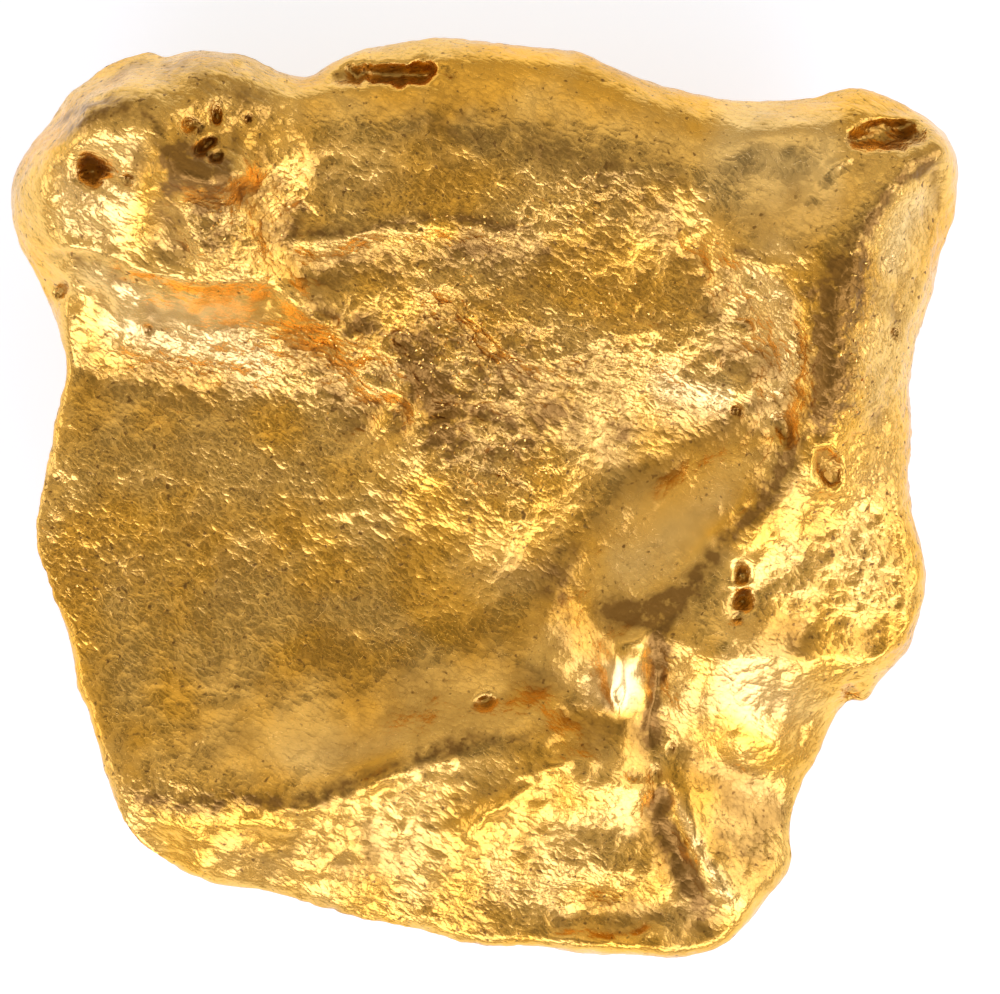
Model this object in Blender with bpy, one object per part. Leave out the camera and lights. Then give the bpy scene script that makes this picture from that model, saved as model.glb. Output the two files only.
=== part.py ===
"""A gold nugget: one solid piece of native gold, lying on its worn underside.

The upper skin is surveyed. Named lines follow its ridges, ledges, feet and hollows, each point giving
the height there, and one thin-plate surface is drawn through them all. Raised and cut creases, pits
and a seeded relief are laid on it. The skin then rolls over the rim, and a plainer underside with a
worn flat closes the piece.

Seen from above, +X is to the right and +Y to the back. The rounded knob is at the back left, the high
ridge runs down the right, and the broad hollow lies between them. The tables and the dimensions are in
millimetres, and the finished mesh is in metres with its origin at the middle of the bottom of its box.
"""

import math

import bpy
import numpy as np
from mathutils import Vector, noise

MM = 0.001

# Driving dimensions, in millimetres.
SURVEY_SPACING = 0.6     # between the heights read along a survey line
SKIN_STIFFNESS = 0.02    # how far the skin may miss a survey line to stay smooth
UNDER_SHOULDER = 1.9     # how far in from the rim the underside rounds over
UNDER_LIP = 1.0          # how far below the rim the underside's edge lies
KEEL_INSET = 6.5         # how far in from the whole rim the underside is at its lowest
WEAR = 0.14              # how much of the lowest part is worn off flat

# The relief that covers the whole skin: the size of one lump, its height, and a seed for each.
RELIEF = ((1.9, 0.10, 1), (0.85, 0.035, 2), (0.42, 0.02, 3))

# Swells of the underside: the size of one, its height, and a seed for each.
UNDER_WAVES = ((4.5, 0.55, 9), (2.1, 0.25, 14))

# How the lines waver sideways: the size of one bend, how far it strays, and a seed for each.
WAVER = ((1.7, 0.10, 21), (0.6, 0.05, 22), (0.3, 0.03, 23))

# Resolution of the mesh.
SKIN_CELLS = 160         # cells across the upper skin; the underside has half as many
SPLINE_STEPS = 12        # pieces between two points of a curve
EDGE_CELLS = 6           # cells by the rim that are packed closer to round it
FACETS = 9400            # triangles that the finished solid keeps

GOLD_COLOUR = (1.0, 0.66, 0.22)
GOLD_ROUGHNESS = 0.28

# Shapes of the small forms.
CREASE_SHARPNESS = 1.6   # 2 makes a round crease, 1 a sharp one
CREASE_FADE = 0.2        # share of a crease's length that each end takes to fade
CREASE_BREAK = 1.4       # how unevenly a crease runs up and down
CREASE_BREAK_SIZE = 0.4
CREASE_SEED = 31
PIT_STEEPNESS = 0.9
PIT_LIP_PLACE = 1.25     # in pit radii from its middle
PIT_LIP_WIDTH = 0.3
PIT_RAGGED = 0.4         # how uneven a pit's edge is
PIT_RAGGED_SIZE = 0.3
PIT_SEED = 41
FADE_REACH = 3.0         # in widths or radii, past which a crease or a pit adds nothing
UNDER_CURVE = 1.8        # how hollow the climb from the flat to the rim is
LEAST_INSET = 0.001      # keeps the sums finite on the rim itself
LEAST_SQUARE = 1e-12
NOISE_STEP = (7.3, 3.1, 1.7)    # how far apart two seeds look into the noise
DRIFT_STEP = (2.7, 5.9, 0.0)
WORN_FADE = 0.5          # height above the flat at which the relief is whole again
FLAT_SNAP = 0.03         # whatever is lower than this belongs to the flat

# The rim, which is the outline seen from above: x, y, its height, and how far in the skin rounds over.
RIM = (
    (-11.8, 7.1, 4.9, 1.1), (-11.8, 7.9, 4.9, 1.1), (-11.4, 8.8, 4.9, 1.1), (-10.8, 9.5, 4.9, 1.1),
    (-10.2, 10.2, 5.6, 0.8), (-9.3, 10.8, 5.6, 0.8), (-8.4, 11.1, 5.6, 0.8), (-7.9, 11, 5.6, 0.8),
    (-7.1, 11.2, 5.6, 0.8), (-6.1, 11.1, 5.5, 0.8), (-5, 10.7, 5.4, 0.8), (-4.4, 10.6, 5.3, 0.8),
    (-3.8, 10.9, 5.3, 0.8), (-3, 11.2, 5.3, 0.8), (-2, 11.4, 5.3, 0.8), (-1, 11.5, 5.4, 0.8),
    (0, 11.4, 5.4, 0.8), (1.4, 11.3, 5.4, 0.8), (2.4, 11.2, 5.4, 0.8), (3.1, 10.9, 5.4, 0.8),
    (3.9, 10.5, 5.4, 0.8), (4.8, 10.2, 5.4, 0.8), (5.9, 10, 5.4, 0.8), (7.3, 9.9, 5.5, 0.8),
    (8.3, 10, 5.6, 0.8), (9.2, 10.2, 5.7, 0.8), (10, 10, 5.7, 0.8), (10.9, 9.6, 5.3, 0.45),
    (11.6, 8.9, 5.3, 0.45), (11.8, 8.2, 5.2, 0.45), (11.8, 7.2, 5.1, 0.45), (11.5, 6.2, 5, 0.45),
    (11.2, 5, 4.9, 0.45), (10.8, 4, 4.8, 0.45), (10.7, 2.8, 4.7, 0.45), (10.7, 1.5, 4.7, 0.45),
    (10.7, 0, 4.6, 0.45), (10.9, -1, 4.5, 0.45), (11.1, -2, 4.4, 0.45), (11, -2.8, 4.3, 0.45),
    (10.7, -3.7, 4, 0.45), (10, -4.5, 3.9, 0.45), (9.6, -5, 3.9, 0.45), (9.2, -5, 3.9, 0.45),
    (8.8, -5.4, 3.9, 0.45), (8.4, -6.4, 3.8, 0.45), (7.9, -7.6, 3.7, 0.45), (7.7, -8.5, 3.7, 0.45),
    (7.7, -9.1, 3.8, 0.45), (7.3, -9.8, 3.9, 0.45), (6.7, -10.6, 3.9, 0.4), (6, -11.2, 4.1, 0.4),
    (5.2, -11.5, 4.1, 0.4), (3.9, -11.5, 4, 0.4), (2.4, -11.4, 3.9, 0.4), (1, -11.2, 4.2, 0.3),
    (-0.3, -11.2, 4.1, 0.3), (-1.6, -10.9, 4, 0.3), (-3.1, -10.5, 4, 0.3), (-4.5, -10.2, 3.9, 0.3),
    (-5.1, -10, 3.9, 0.3), (-6.8, -9.6, 3.9, 0.3), (-7.8, -9.2, 3.9, 0.3), (-8.7, -8.5, 4.55, 0.3),
    (-9.2, -7.6, 4.55, 0.3), (-9.6, -6.6, 4.55, 0.3), (-9.9, -5.4, 4.55, 0.3),
    (-10.2, -4.7, 4.55, 0.3), (-10.4, -3.6, 4.55, 0.3), (-10.8, -2.3, 4.7, 0.3),
    (-11.2, -1.1, 4.7, 0.3), (-11.2, -0.1, 4.7, 0.3), (-11, 0.8, 4.7, 0.3), (-10.7, 2, 4.7, 0.3),
    (-10.5, 3, 4.7, 0.3), (-10.5, 3.7, 4.7, 0.3), (-10.8, 4.7, 4.3, 0.45), (-11.2, 5.6, 4.9, 1.1),
    (-11.6, 6.4, 4.9, 1.1),
)

# Lines across the upper skin: x, y and the height there.
SURVEY = {
    'knob_ring': ((-11.2, 8.1, 7.1), (-10.6, 8.8, 7.7), (-9.8, 9.3, 8.2), (-8.9, 9.6, 8.55),
        (-8.2, 9.4, 8.75), (-7.8, 8.7, 8.85), (-7.3, 7.8, 8.9), (-6.5, 7.6, 8.75), (-5.7, 7.9, 8.35)),
    'knob_face': ((-10.6, 8, 7.45), (-9.6, 8.3, 8), (-8.6, 8.6, 8.35), (-8, 7.7, 8.4)),
    'knob_belly': ((-11.3, 7.1, 6.75), (-10.3, 7.2, 7.3), (-9.3, 7.2, 7.7), (-8.5, 6.9, 7.75)),
    'knob_front': ((-11.1, 6.5, 6.6), (-10.1, 6.4, 6.9), (-9.1, 6.3, 7.2), (-8.3, 5.9, 7.25),
        (-7.6, 5.7, 7.3)),
    'knob_lip': ((-11.4, 6.2, 6.35), (-10.6, 6.2, 6.75), (-9.6, 6.1, 7), (-9, 5.9, 7.05),
        (-8.6, 5.6, 7.05), (-7.9, 5.4, 7.1), (-7.1, 5.3, 7.15), (-6.3, 5.3, 7.2), (-5.6, 5.5, 7.25)),
    'knob_back': ((-9.7, 9.9, 7.6), (-8.8, 10.2, 7.8), (-8, 10.2, 8.05), (-7, 10, 8.2)),
    'knob_lobe': ((-10.6, 9.4, 6.7), (-10, 10, 6.8), (-9.2, 10.5, 6.7), (-8.3, 10.8, 6.5)),
    'knob_roof': ((-7.6, 10.9, 6.9), (-6.7, 10.8, 7.2), (-5.7, 10.5, 7.2), (-4.8, 10.1, 7.1),
        (-5.5, 9.7, 7.6), (-6.3, 9.5, 8), (-7.1, 9.2, 8.4)),
    'knob_eave': ((-5.5, 9.2, 7.7), (-5.5, 8.7, 7.8), (-6.1, 8.5, 8.3), (-6.7, 8.5, 8.55)),
    'knurl': ((-7, 7.2, 8), (-6.6, 6.7, 7.95), (-6.7, 6, 7.8), (-6.2, 5.9, 7.6), (-6, 7.1, 7.85)),
    'knurl_west': ((-7.6, 7.6, 8.35), (-7.3, 7.1, 8.15), (-7.2, 6.3, 7.85), (-7, 5.8, 7.55)),
    'knurl_foot': ((-8.1, 7.3, 8), (-7.9, 6.8, 7.65), (-7.7, 6.2, 7.4)),
    'knob_edge': ((-5.8, 7.5, 7.8), (-5.8, 6.8, 7.6), (-5.6, 6.3, 7.4), (-5.4, 5.9, 7.2)),
    'knob_gutter': ((-5.3, 8.3, 7.8), (-5.2, 7.6, 7.5), (-5.2, 6.8, 7.25), (-5.1, 6.2, 7.05)),
    'wall_top': ((-11.3, 6, 6.2), (-10.6, 6, 6.5), (-9.6, 5.9, 6.7), (-8.9, 5.7, 6.8), (-8, 5.2, 6.85),
        (-7, 5.1, 6.85), (-6, 5.1, 6.9), (-5.5, 5.2, 6.95)),
    'wall_foot': ((-10.6, 5.6, 6.2), (-9.6, 5.3, 6.2), (-8.9, 4.9, 6.15), (-8, 4.5, 6.05),
        (-7, 4.3, 6), (-6, 4.3, 5.95), (-5, 4.1, 5.85), (-4, 3.7, 5.7)),
    'wall_mid': ((-8.9, 5.3, 6.45), (-8, 4.8, 6.45), (-7, 4.7, 6.4), (-6, 4.7, 6.4), (-5.2, 4.7, 6.35)),
    'west_step': ((-10.8, 5.3, 5.6), (-10.1, 5.1, 5.8), (-9.5, 4.9, 5.8)),
    'west_slope': ((-10.6, 4.5, 5.4), (-9.8, 4.3, 5.45), (-9.2, 4.1, 5.4)),
    'slope_mid': ((-9, 3.9, 5.5), (-7.7, 3.6, 5.4), (-6.5, 3.5, 5.4), (-5.1, 3.4, 5.35),
        (-3.8, 3.2, 5.4), (-2.8, 3.1, 5.6)),
    'slope_toe': ((-10.3, 3.8, 5.1), (-9.5, 3.5, 5.05), (-8.3, 3.2, 5), (-7.1, 3, 5), (-5.8, 2.8, 5),
        (-4.3, 2.7, 5.05), (-3.1, 2.5, 5.15), (-2.2, 2, 5.25)),
    'spur': ((-5.2, 5.6, 7), (-4.8, 5.2, 6.85), (-4.3, 4.7, 6.6), (-3.8, 4.3, 6.4), (-3.2, 4, 6.25),
        (-2.6, 3.8, 6.1), (-2.1, 3.3, 5.95), (-1.8, 2.7, 5.8), (-1.7, 1.8, 5.6), (-1.6, 0.8, 5.4),
        (-1.7, 0, 5.2)),
    'spur_wall': ((-5.4, 5, 6.5), (-4.8, 4.4, 6.2), (-4.3, 4, 6.1), (-3.7, 3.6, 5.95),
        (-3.2, 3.2, 5.9), (-2.8, 2.7, 5.65), (-2.4, 2, 5.45)),
    'spur_east': ((-4.6, 5.3, 6.7), (-4, 5, 6.55), (-3.3, 4.6, 6.4), (-2.6, 4.3, 6.2), (-2, 3.7, 6),
        (-1.5, 3, 5.9), (-1.2, 2.2, 5.7), (-1.1, 1.4, 5.5)),
    'back_slope': ((-3.8, 10.3, 6.85), (-2.4, 10.2, 6.95), (-0.8, 10.5, 6.8), (0.9, 10.4, 6.75),
        (2.6, 10.2, 6.75), (4.2, 9.7, 6.85), (5.6, 9.2, 6.9)),
    'shelf_ridge': ((-4.6, 9.4, 7.3), (-3.4, 9.3, 7.25), (-1.8, 9.2, 7.2), (-0.1, 8.9, 7.2),
        (1.6, 8.5, 7.2), (3.1, 8.2, 7.2), (4.4, 8.1, 7.3), (5.4, 8.3, 7.35)),
    'shelf_mid': ((-4.1, 8.3, 7.2), (-2.8, 8.2, 7.1), (-1.4, 8.3, 7.1), (0.4, 8, 7.1), (1.9, 7.7, 7.1)),
    'shelf_low': ((-4.6, 7.1, 7), (-3.4, 7.2, 7.05), (-2.1, 7.3, 7.05), (-0.6, 7.4, 7.05),
        (1.1, 7.2, 7.05), (2.9, 7.1, 7), (3.9, 7.1, 7)),
    'shelf_pocket': ((-5, 8.3, 7.7), (-4.6, 7.5, 7.2), (-4.8, 6.8, 7)),
    'ledge_lip': ((-5, 6.3, 6.95), (-4.3, 6.3, 7), (-3.4, 6.4, 7), (-2.5, 6.6, 7), (-1.4, 6.8, 7),
        (-0.5, 6.7, 7), (0.6, 6.6, 7), (2.1, 6.5, 6.9), (3.6, 6.6, 6.9)),
    'ledge_foot': ((-4.6, 5.6, 6.55), (-3.5, 5.7, 6.5), (-2.2, 5.9, 6.55), (-1, 6.1, 6.65),
        (0.9, 5.9, 6.7), (2.6, 5.8, 6.7)),
    'mid_floor': ((-3.4, 5.2, 6.5), (-2.1, 5, 6.45), (-0.8, 5.3, 6.6), (0.9, 5.2, 6.6),
        (2.6, 5.1, 6.65), (4.2, 5.2, 6.6), (4.7, 4.8, 6.6)),
    'mid_lip': ((-0.6, 5, 6.55), (0.1, 4.5, 6.55), (0.9, 4, 6.5), (1.5, 3.5, 6.45), (2.3, 3.7, 6.5),
        (3, 3.9, 6.55), (4.2, 4.1, 6.6), (5.2, 4.1, 6.55)),
    'mid_lip_foot': ((-0.9, 4.5, 6.2), (-0.2, 3.7, 6.1), (0.6, 3.1, 6.05)),
    'mid_west': ((-1.4, 4.1, 6), (-0.7, 3.2, 5.95), (0.4, 2.7, 5.9), (1.4, 2.5, 5.9)),
    'slope_east': ((1.9, 2.8, 6.15), (3.1, 2.9, 6.2), (4.4, 2.9, 6.2), (5.5, 2.9, 6.25),
        (6.2, 2.8, 6.3)),
    'east_toe': ((1.9, 1.7, 5.6), (3.1, 1.7, 5.6), (4.5, 1.5, 5.55), (5.7, 1.3, 5.85),
        (6.4, 1.6, 6.15)),
    'low_floor': ((-0.8, 2.3, 5.85), (0.4, 2.4, 5.85), (0.9, 1.6, 5.5), (-0.3, 1.6, 5.5)),
    'patch_toe': ((-0.5, -0.4, 5.25), (0.6, -0.5, 5.25), (1.9, 0, 5.3)),
    'hollow_a': ((-9.8, 2, 5), (-8.1, 1.7, 4.95), (-6.1, 1.5, 4.9), (-4.1, 1.2, 4.95)),
    'hollow_b': ((-10.3, -0.5, 4.9), (-8.3, -0.5, 4.85), (-6.1, -0.8, 4.8), (-3.8, -0.8, 4.85),
        (-1.6, -1.1, 5)),
    'hollow_c': ((-9.8, -3, 4.85), (-7.6, -3, 4.7), (-5.1, -3, 4.65), (-2.6, -3, 4.7),
        (-0.3, -2.5, 4.8)),
    'hollow_d': ((-9.3, -5, 4.9), (-7.1, -5, 4.85), (-4.6, -5, 4.85), (-2.1, -4.8, 4.9),
        (0.1, -4.4, 4.95)),
    'hollow_e': ((-9.2, -6.2, 5), (-7.3, -6.2, 5.1), (-5.6, -6.3, 5.2), (-3.8, -6.1, 5.25),
        (-2.1, -5.6, 5.3), (-0.3, -5.2, 5.35), (1.4, -5, 5.35)),
    'valley': ((4.7, 0.9, 5.5), (3.9, 0.5, 5.3), (3, -0.3, 5.15), (2.4, -1.1, 5), (1.9, -2.3, 4.9),
        (1.5, -3.5, 4.85), (1.4, -4.8, 5)),
    'pocket_rim': ((6, 6.2, 7.3), (6.6, 5.9, 7.5), (7.3, 5.5, 7.6), (7.8, 4.9, 7.7), (7.8, 4, 7.6),
        (7.8, 2.8, 7.3), (7.7, 1.7, 7.1)),
    'pocket_scree': ((6.4, 5.5, 7.15), (6.8, 5, 7.25), (7.1, 4.3, 7.3), (7.1, 4, 7.15)),
    'pocket_west': ((5.2, 6.3, 6.8), (5.4, 5.5, 6.6), (5.5, 4.5, 6.6), (5.4, 3.9, 6.5)),
    'pocket_knobs': ((6, 5.6, 6.9), (6.2, 5, 6.8), (6.1, 4.3, 6.7)),
    'pocket_wall': ((6.3, 3.8, 6.5), (6.9, 3.7, 6.75), (7.3, 3.6, 7.15)),
    'pocket_floor': ((6.1, 3.3, 6.2), (6.7, 3.1, 6.35), (7.3, 2.9, 6.85), (6.8, 2.5, 6.35),
        (6.3, 2.1, 6.05)),
    'pocket_end': ((7.6, 2.4, 6.9), (7.2, 1.8, 6.65), (6.8, 1.3, 6.4)),
    'ridge': ((11.6, 8.7, 7.2), (10.7, 8.1, 7.6), (9.9, 7.4, 7.9), (9.4, 6.7, 8), (9.1, 5.8, 8.05),
        (8.8, 5, 8.1), (8.6, 3.8, 8), (8.4, 2.6, 7.8), (8.2, 1.7, 7.4), (7.8, 0.9, 7.1), (7.1, 0, 6.8),
        (6.4, -0.8, 6.6), (5.7, -1.7, 6.35), (5, -2.7, 6.2), (3.9, -3.1, 6), (2.9, -3.1, 5.75)),
    'crown': ((6.3, 7.3, 7.45), (6.9, 6.8, 7.65), (7.6, 6.2, 7.95), (8.3, 6.6, 8), (8.8, 6.1, 8.05),
        (8.3, 5.3, 8.05)),
    'slab': ((6.4, 9, 7.2), (7.6, 9.3, 7.15), (8.9, 9.3, 7.15), (9.9, 8.3, 7.5), (8.8, 7.7, 7.7),
        (7.6, 7.8, 7.55), (6.5, 8.2, 7.35)),
    'slab_back': ((6.9, 9.7, 6.5), (8.2, 9.8, 6.5), (9.4, 9.9, 6.5), (10.5, 9.4, 6.5)),
    'flank_a': ((11.1, 8, 6.95), (10.5, 7.2, 7.2), (10, 6.3, 7.4), (9.7, 5.3, 7.5), (9.4, 4.2, 7.55),
        (9.3, 3, 7.4), (9.1, 1.7, 7.1), (8.6, 0.7, 6.9), (7.9, -0.1, 6.6), (7.3, -1, 6.35),
        (6.7, -2.1, 6.2), (6.3, -3, 6.2)),
    'flank_b': ((11.4, 7.1, 6.1), (10.9, 6.1, 6.3), (10.5, 5, 6.5), (10.2, 3.8, 6.6), (10, 2.5, 6.45),
        (9.8, 1.1, 6.2), (9.4, -0.3, 6), (9, -1.5, 5.8), (8.4, -2.5, 5.7), (7.9, -3.5, 5.65)),
    'flank_c': ((10.6, 0.5, 5.5), (10.5, -0.8, 5.45), (10.4, -2, 5.3), (9.9, -3.3, 5.2),
        (9.3, -4.2, 5.2)),
    'hook': ((9.9, -3.9, 5.2), (9.6, -4.5, 4.8), (9.2, -4.8, 4.5)),
    'tongue': ((6.4, 0.6, 6.35), (5.6, 0, 6.1), (4.8, -0.6, 5.9), (4, -1.5, 5.7), (3.1, -2.1, 5.45)),
    'tongue_hi': ((6.8, 0.3, 6.55), (6, -0.4, 6.3), (5.2, -1.2, 6.1), (4.5, -2.1, 5.9),
        (3.5, -2.6, 5.65)),
    'tongue_foot': ((6.1, 0.9, 6.2), (5.2, 0.5, 5.95), (4.3, -0.1, 5.75), (3.5, -0.9, 5.5),
        (2.8, -1.6, 5.3)),
    'tongue_end': ((2.6, -2.8, 5.6), (2.4, -3.5, 5.4), (2.2, -4.5, 5.25), (2.1, -5.5, 5.3)),
    'rib_a': ((3.5, -3.5, 6.2), (3.5, -4.1, 6), (3.4, -4.8, 5.7), (3.4, -5.6, 5.5), (3, -6.5, 5.6)),
    'rib_a_west': ((2.9, -3.8, 5.8), (2.8, -4.8, 5.45), (2.6, -5.8, 5.4)),
    'groove_a': ((4.3, -3.5, 6.25), (4.3, -4.5, 5.65), (4.2, -5.6, 5.3), (4.2, -6.6, 5.2),
        (4.4, -7.5, 5)),
    'bulge_top': ((5, -3.5, 6.35), (5.5, -3.3, 6.45), (6.4, -3.5, 6.45), (7.4, -3.9, 6.1),
        (8.3, -4, 5.65)),
    'bulge': ((5.2, -4.6, 6.1), (6, -4.7, 6), (7, -5, 5.5), (7.9, -5.2, 4.95)),
    'bulge_mid': ((5.2, -5.6, 5.6), (6.2, -6, 5.4), (7.2, -6.3, 4.85), (7.9, -6.5, 4.4)),
    'bulge_low': ((5.2, -6.8, 5.15), (6, -7.2, 4.75), (6.8, -7.5, 4.4), (7.5, -7.8, 4.1)),
    'rib_c': ((4.6, -7, 5.3), (4.8, -7.6, 5.25), (5.2, -8.5, 5.15), (5.7, -9.3, 5), (6.2, -10.2, 4.8)),
    'groove_b': ((4.5, -8, 5), (4.9, -8.9, 4.8), (5.3, -9.8, 4.7), (5.5, -10.6, 4.5)),
    'scoop': ((6, -8.2, 4.75), (6.6, -8.7, 4.55), (7.3, -9.1, 4.35)),
    'south_crest': ((-9.3, -7, 4.95), (-8.3, -7.5, 5.15), (-7.1, -7.8, 5.3), (-5.8, -7.6, 5.45),
        (-4.6, -7.7, 5.55), (-3.7, -7.4, 5.6), (-3, -7.1, 5.65), (-2, -6.6, 5.75), (-0.8, -6.3, 5.85),
        (0.4, -6.1, 5.9), (1.6, -6, 5.95)),
    'south_brow': ((-7.6, -8.2, 5.05), (-5.6, -8.2, 5.15), (-3.8, -8.1, 5.3), (-2.1, -7.5, 5.5),
        (-0.8, -7.2, 5.65)),
    'south_flank': ((-8.3, -8.5, 4.5), (-6.8, -8.9, 4.6), (-5.1, -9.2, 4.55), (-3.6, -9.5, 4.55),
        (-2.1, -9.8, 4.5)),
    'wye': ((3.1, -6.7, 5.7), (2.1, -6.6, 5.85), (1.4, -6.8, 5.85), (0.6, -7.4, 5.75),
        (-0.1, -8.1, 5.55), (-0.7, -8.8, 5.25)),
    'wye_north': ((0.4, -6.7, 5.8), (-0.3, -7.3, 5.65), (-1.1, -7.9, 5.4)),
    'dish': ((0.9, -8.3, 5.35), (2.1, -8, 5.4), (3.4, -7.9, 5.45), (4, -7.3, 5.5)),
    'dish_low': ((-0.1, -9.5, 4.95), (1.4, -9.6, 4.95), (2.9, -9.5, 5), (4.2, -9.3, 5.1)),
    'dish_toe': ((1.9, -10.6, 4.55), (3.1, -10.7, 4.5), (4.2, -10.5, 4.65)),
    'south_hem': ((1.9, -10.9, 4.65), (3.1, -11, 4.65), (4.4, -10.8, 4.75)),
}

# Creases: height (negative if cut), width to the left and to the right of its run, and its line.
CREASES = {
    'spur_crest': (0.12, 0.2, 0.2, ((-5.35, 5.8), (-4.95, 5.3), (-4.45, 4.8), (-3.9, 4.4),
        (-3.35, 4.1), (-2.7, 3.9), (-2.2, 3.4), (-1.9, 2.75), (-1.7, 2), (-1.65, 1))),
    'lip_crest': (0.08, 0.2, 0.1, ((-11.4, 6.25), (-10.55, 6.2), (-9.6, 6.1), (-9.05, 5.9),
        (-8.55, 5.6), (-7.9, 5.4), (-7.1, 5.3), (-6.2, 5.3), (-5.55, 5.5))),
    'ledge_crest': (0.07, 0.2, 0.2, ((-5.1, 6.3), (-4.35, 6.3), (-3.35, 6.4), (-2.5, 6.55),
        (-1.35, 6.7), (-0.45, 6.7), (0.65, 6.5), (1.9, 6.5))),
    'ledge_cut': (-0.05, 0.15, 0.15, ((-5.4, 6.1), (-4.6, 5.9), (-3.35, 5.95), (-2.5, 6.15),
        (-1.35, 6.4), (-0.35, 6.3), (0.9, 6.15))),
    'slash_a': (0.14, 0.15, 0.2, ((-0.7, 5.1), (-0.35, 4.65), (0.15, 4.15), (0.7, 3.65), (1.5, 3.15))),
    'slash_b': (-0.05, 0.15, 0.15, ((-0.15, 4.95), (0.5, 4.6), (1, 4.15), (1.5, 3.65))),
    'slash_c': (0.1, 0.1, 0.15, ((-1.5, 5.9), (-1.25, 5.4), (-1.1, 4.9))),
    'mid_crest': (0.06, 0.2, 0.2, ((1.4, 3.3), (2.2, 3.65), (3, 3.95), (3.9, 4.1), (4.8, 4.05),
        (5.5, 4.15))),
    'step_cut': (-0.12, 0.15, 0.2, ((-1.4, 2.15), (-0.6, 2.2), (0.4, 2.1), (0.85, 1.7))),
    'chain_cut': (-0.1, 0.2, 0.2, ((-2.5, 4.3), (-1.9, 3.7), (-1.5, 3.1), (-1.25, 2.4), (-0.95, 1.5))),
    'pocket_crest': (0.04, 0.2, 0.2, ((5.95, 6.2), (6.65, 5.95), (7.35, 5.55), (7.8, 4.9), (8, 3.85),
        (7.9, 2.6))),
    'pocket_slit': (-0.07, 0.1, 0.1, ((7.75, 4.1), (7.8, 3.5), (7.75, 2.65))),
    'valley_edge': (-0.05, 0.25, 0.25, ((5.15, 6.5), (5.4, 5.9), (5.5, 4.95), (5.45, 4))),
    'slab_fold': (0.1, 0.2, 0.25, ((7.9, 7.2), (8.05, 7.6), (8.35, 7.9), (8.85, 8.2), (9.3, 8.4))),
    'groove_a_cut': (-0.12, 0.2, 0.2, ((4.3, -3.15), (4.3, -4.3), (4.2, -5.3), (4.15, -6.3))),
    'rib_c_top': (0.13, 0.3, 0.3, ((4.5, -6.9), (4.7, -7.5), (5.15, -8.3), (5.6, -9.05),
        (6.05, -9.8), (6.45, -10.45))),
    'rib_a_slit': (-0.1, 0.1, 0.1, ((3.25, -5), (3.4, -4.8), (3.6, -4.5))),
    'knot_cut': (-0.14, 0.1, 0.1, ((3.45, -6.8), (3.9, -6.95), (4.45, -6.9))),
    'south_line': (0.1, 0.2, 0.2, ((-6.2, -7.7), (-5.35, -7.7), (-4.45, -7.7), (-3.7, -7.4),
        (-3, -7.2), (-2, -6.7), (-0.85, -6.4))),
    'wye_crest': (0.16, 0.2, 0.2, ((3.05, -6.5), (2.15, -6.6), (1.45, -6.8), (0.7, -7.4), (0, -7.95),
        (-0.7, -8.8))),
    'hem_cut': (-0.05, 0.1, 0.15, ((1.6, -10.65), (2.4, -10.8), (3.4, -10.8), (4.15, -10.5))),
    'hem_crest': (0.1, 0.15, 0.15, ((1.5, -10.95), (2.65, -11.05), (3.8, -10.9), (4.5, -10.7))),
    'knurl_crest': (0.1, 0.2, 0.15, ((-5.9, 7.3), (-5.8, 6.9), (-5.75, 6.45), (-5.55, 5.9))),
    'knob_gutter_cut': (-0.05, 0.1, 0.1, ((-5.6, 8.45), (-5.5, 7.7), (-5.5, 6.95), (-5.4, 6.3))),
    'lobe_edge': (-0.1, 0.15, 0.15, ((-10.9, 9.2), (-10.1, 9.7), (-9.35, 9.9), (-8.7, 10))),
}

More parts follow.
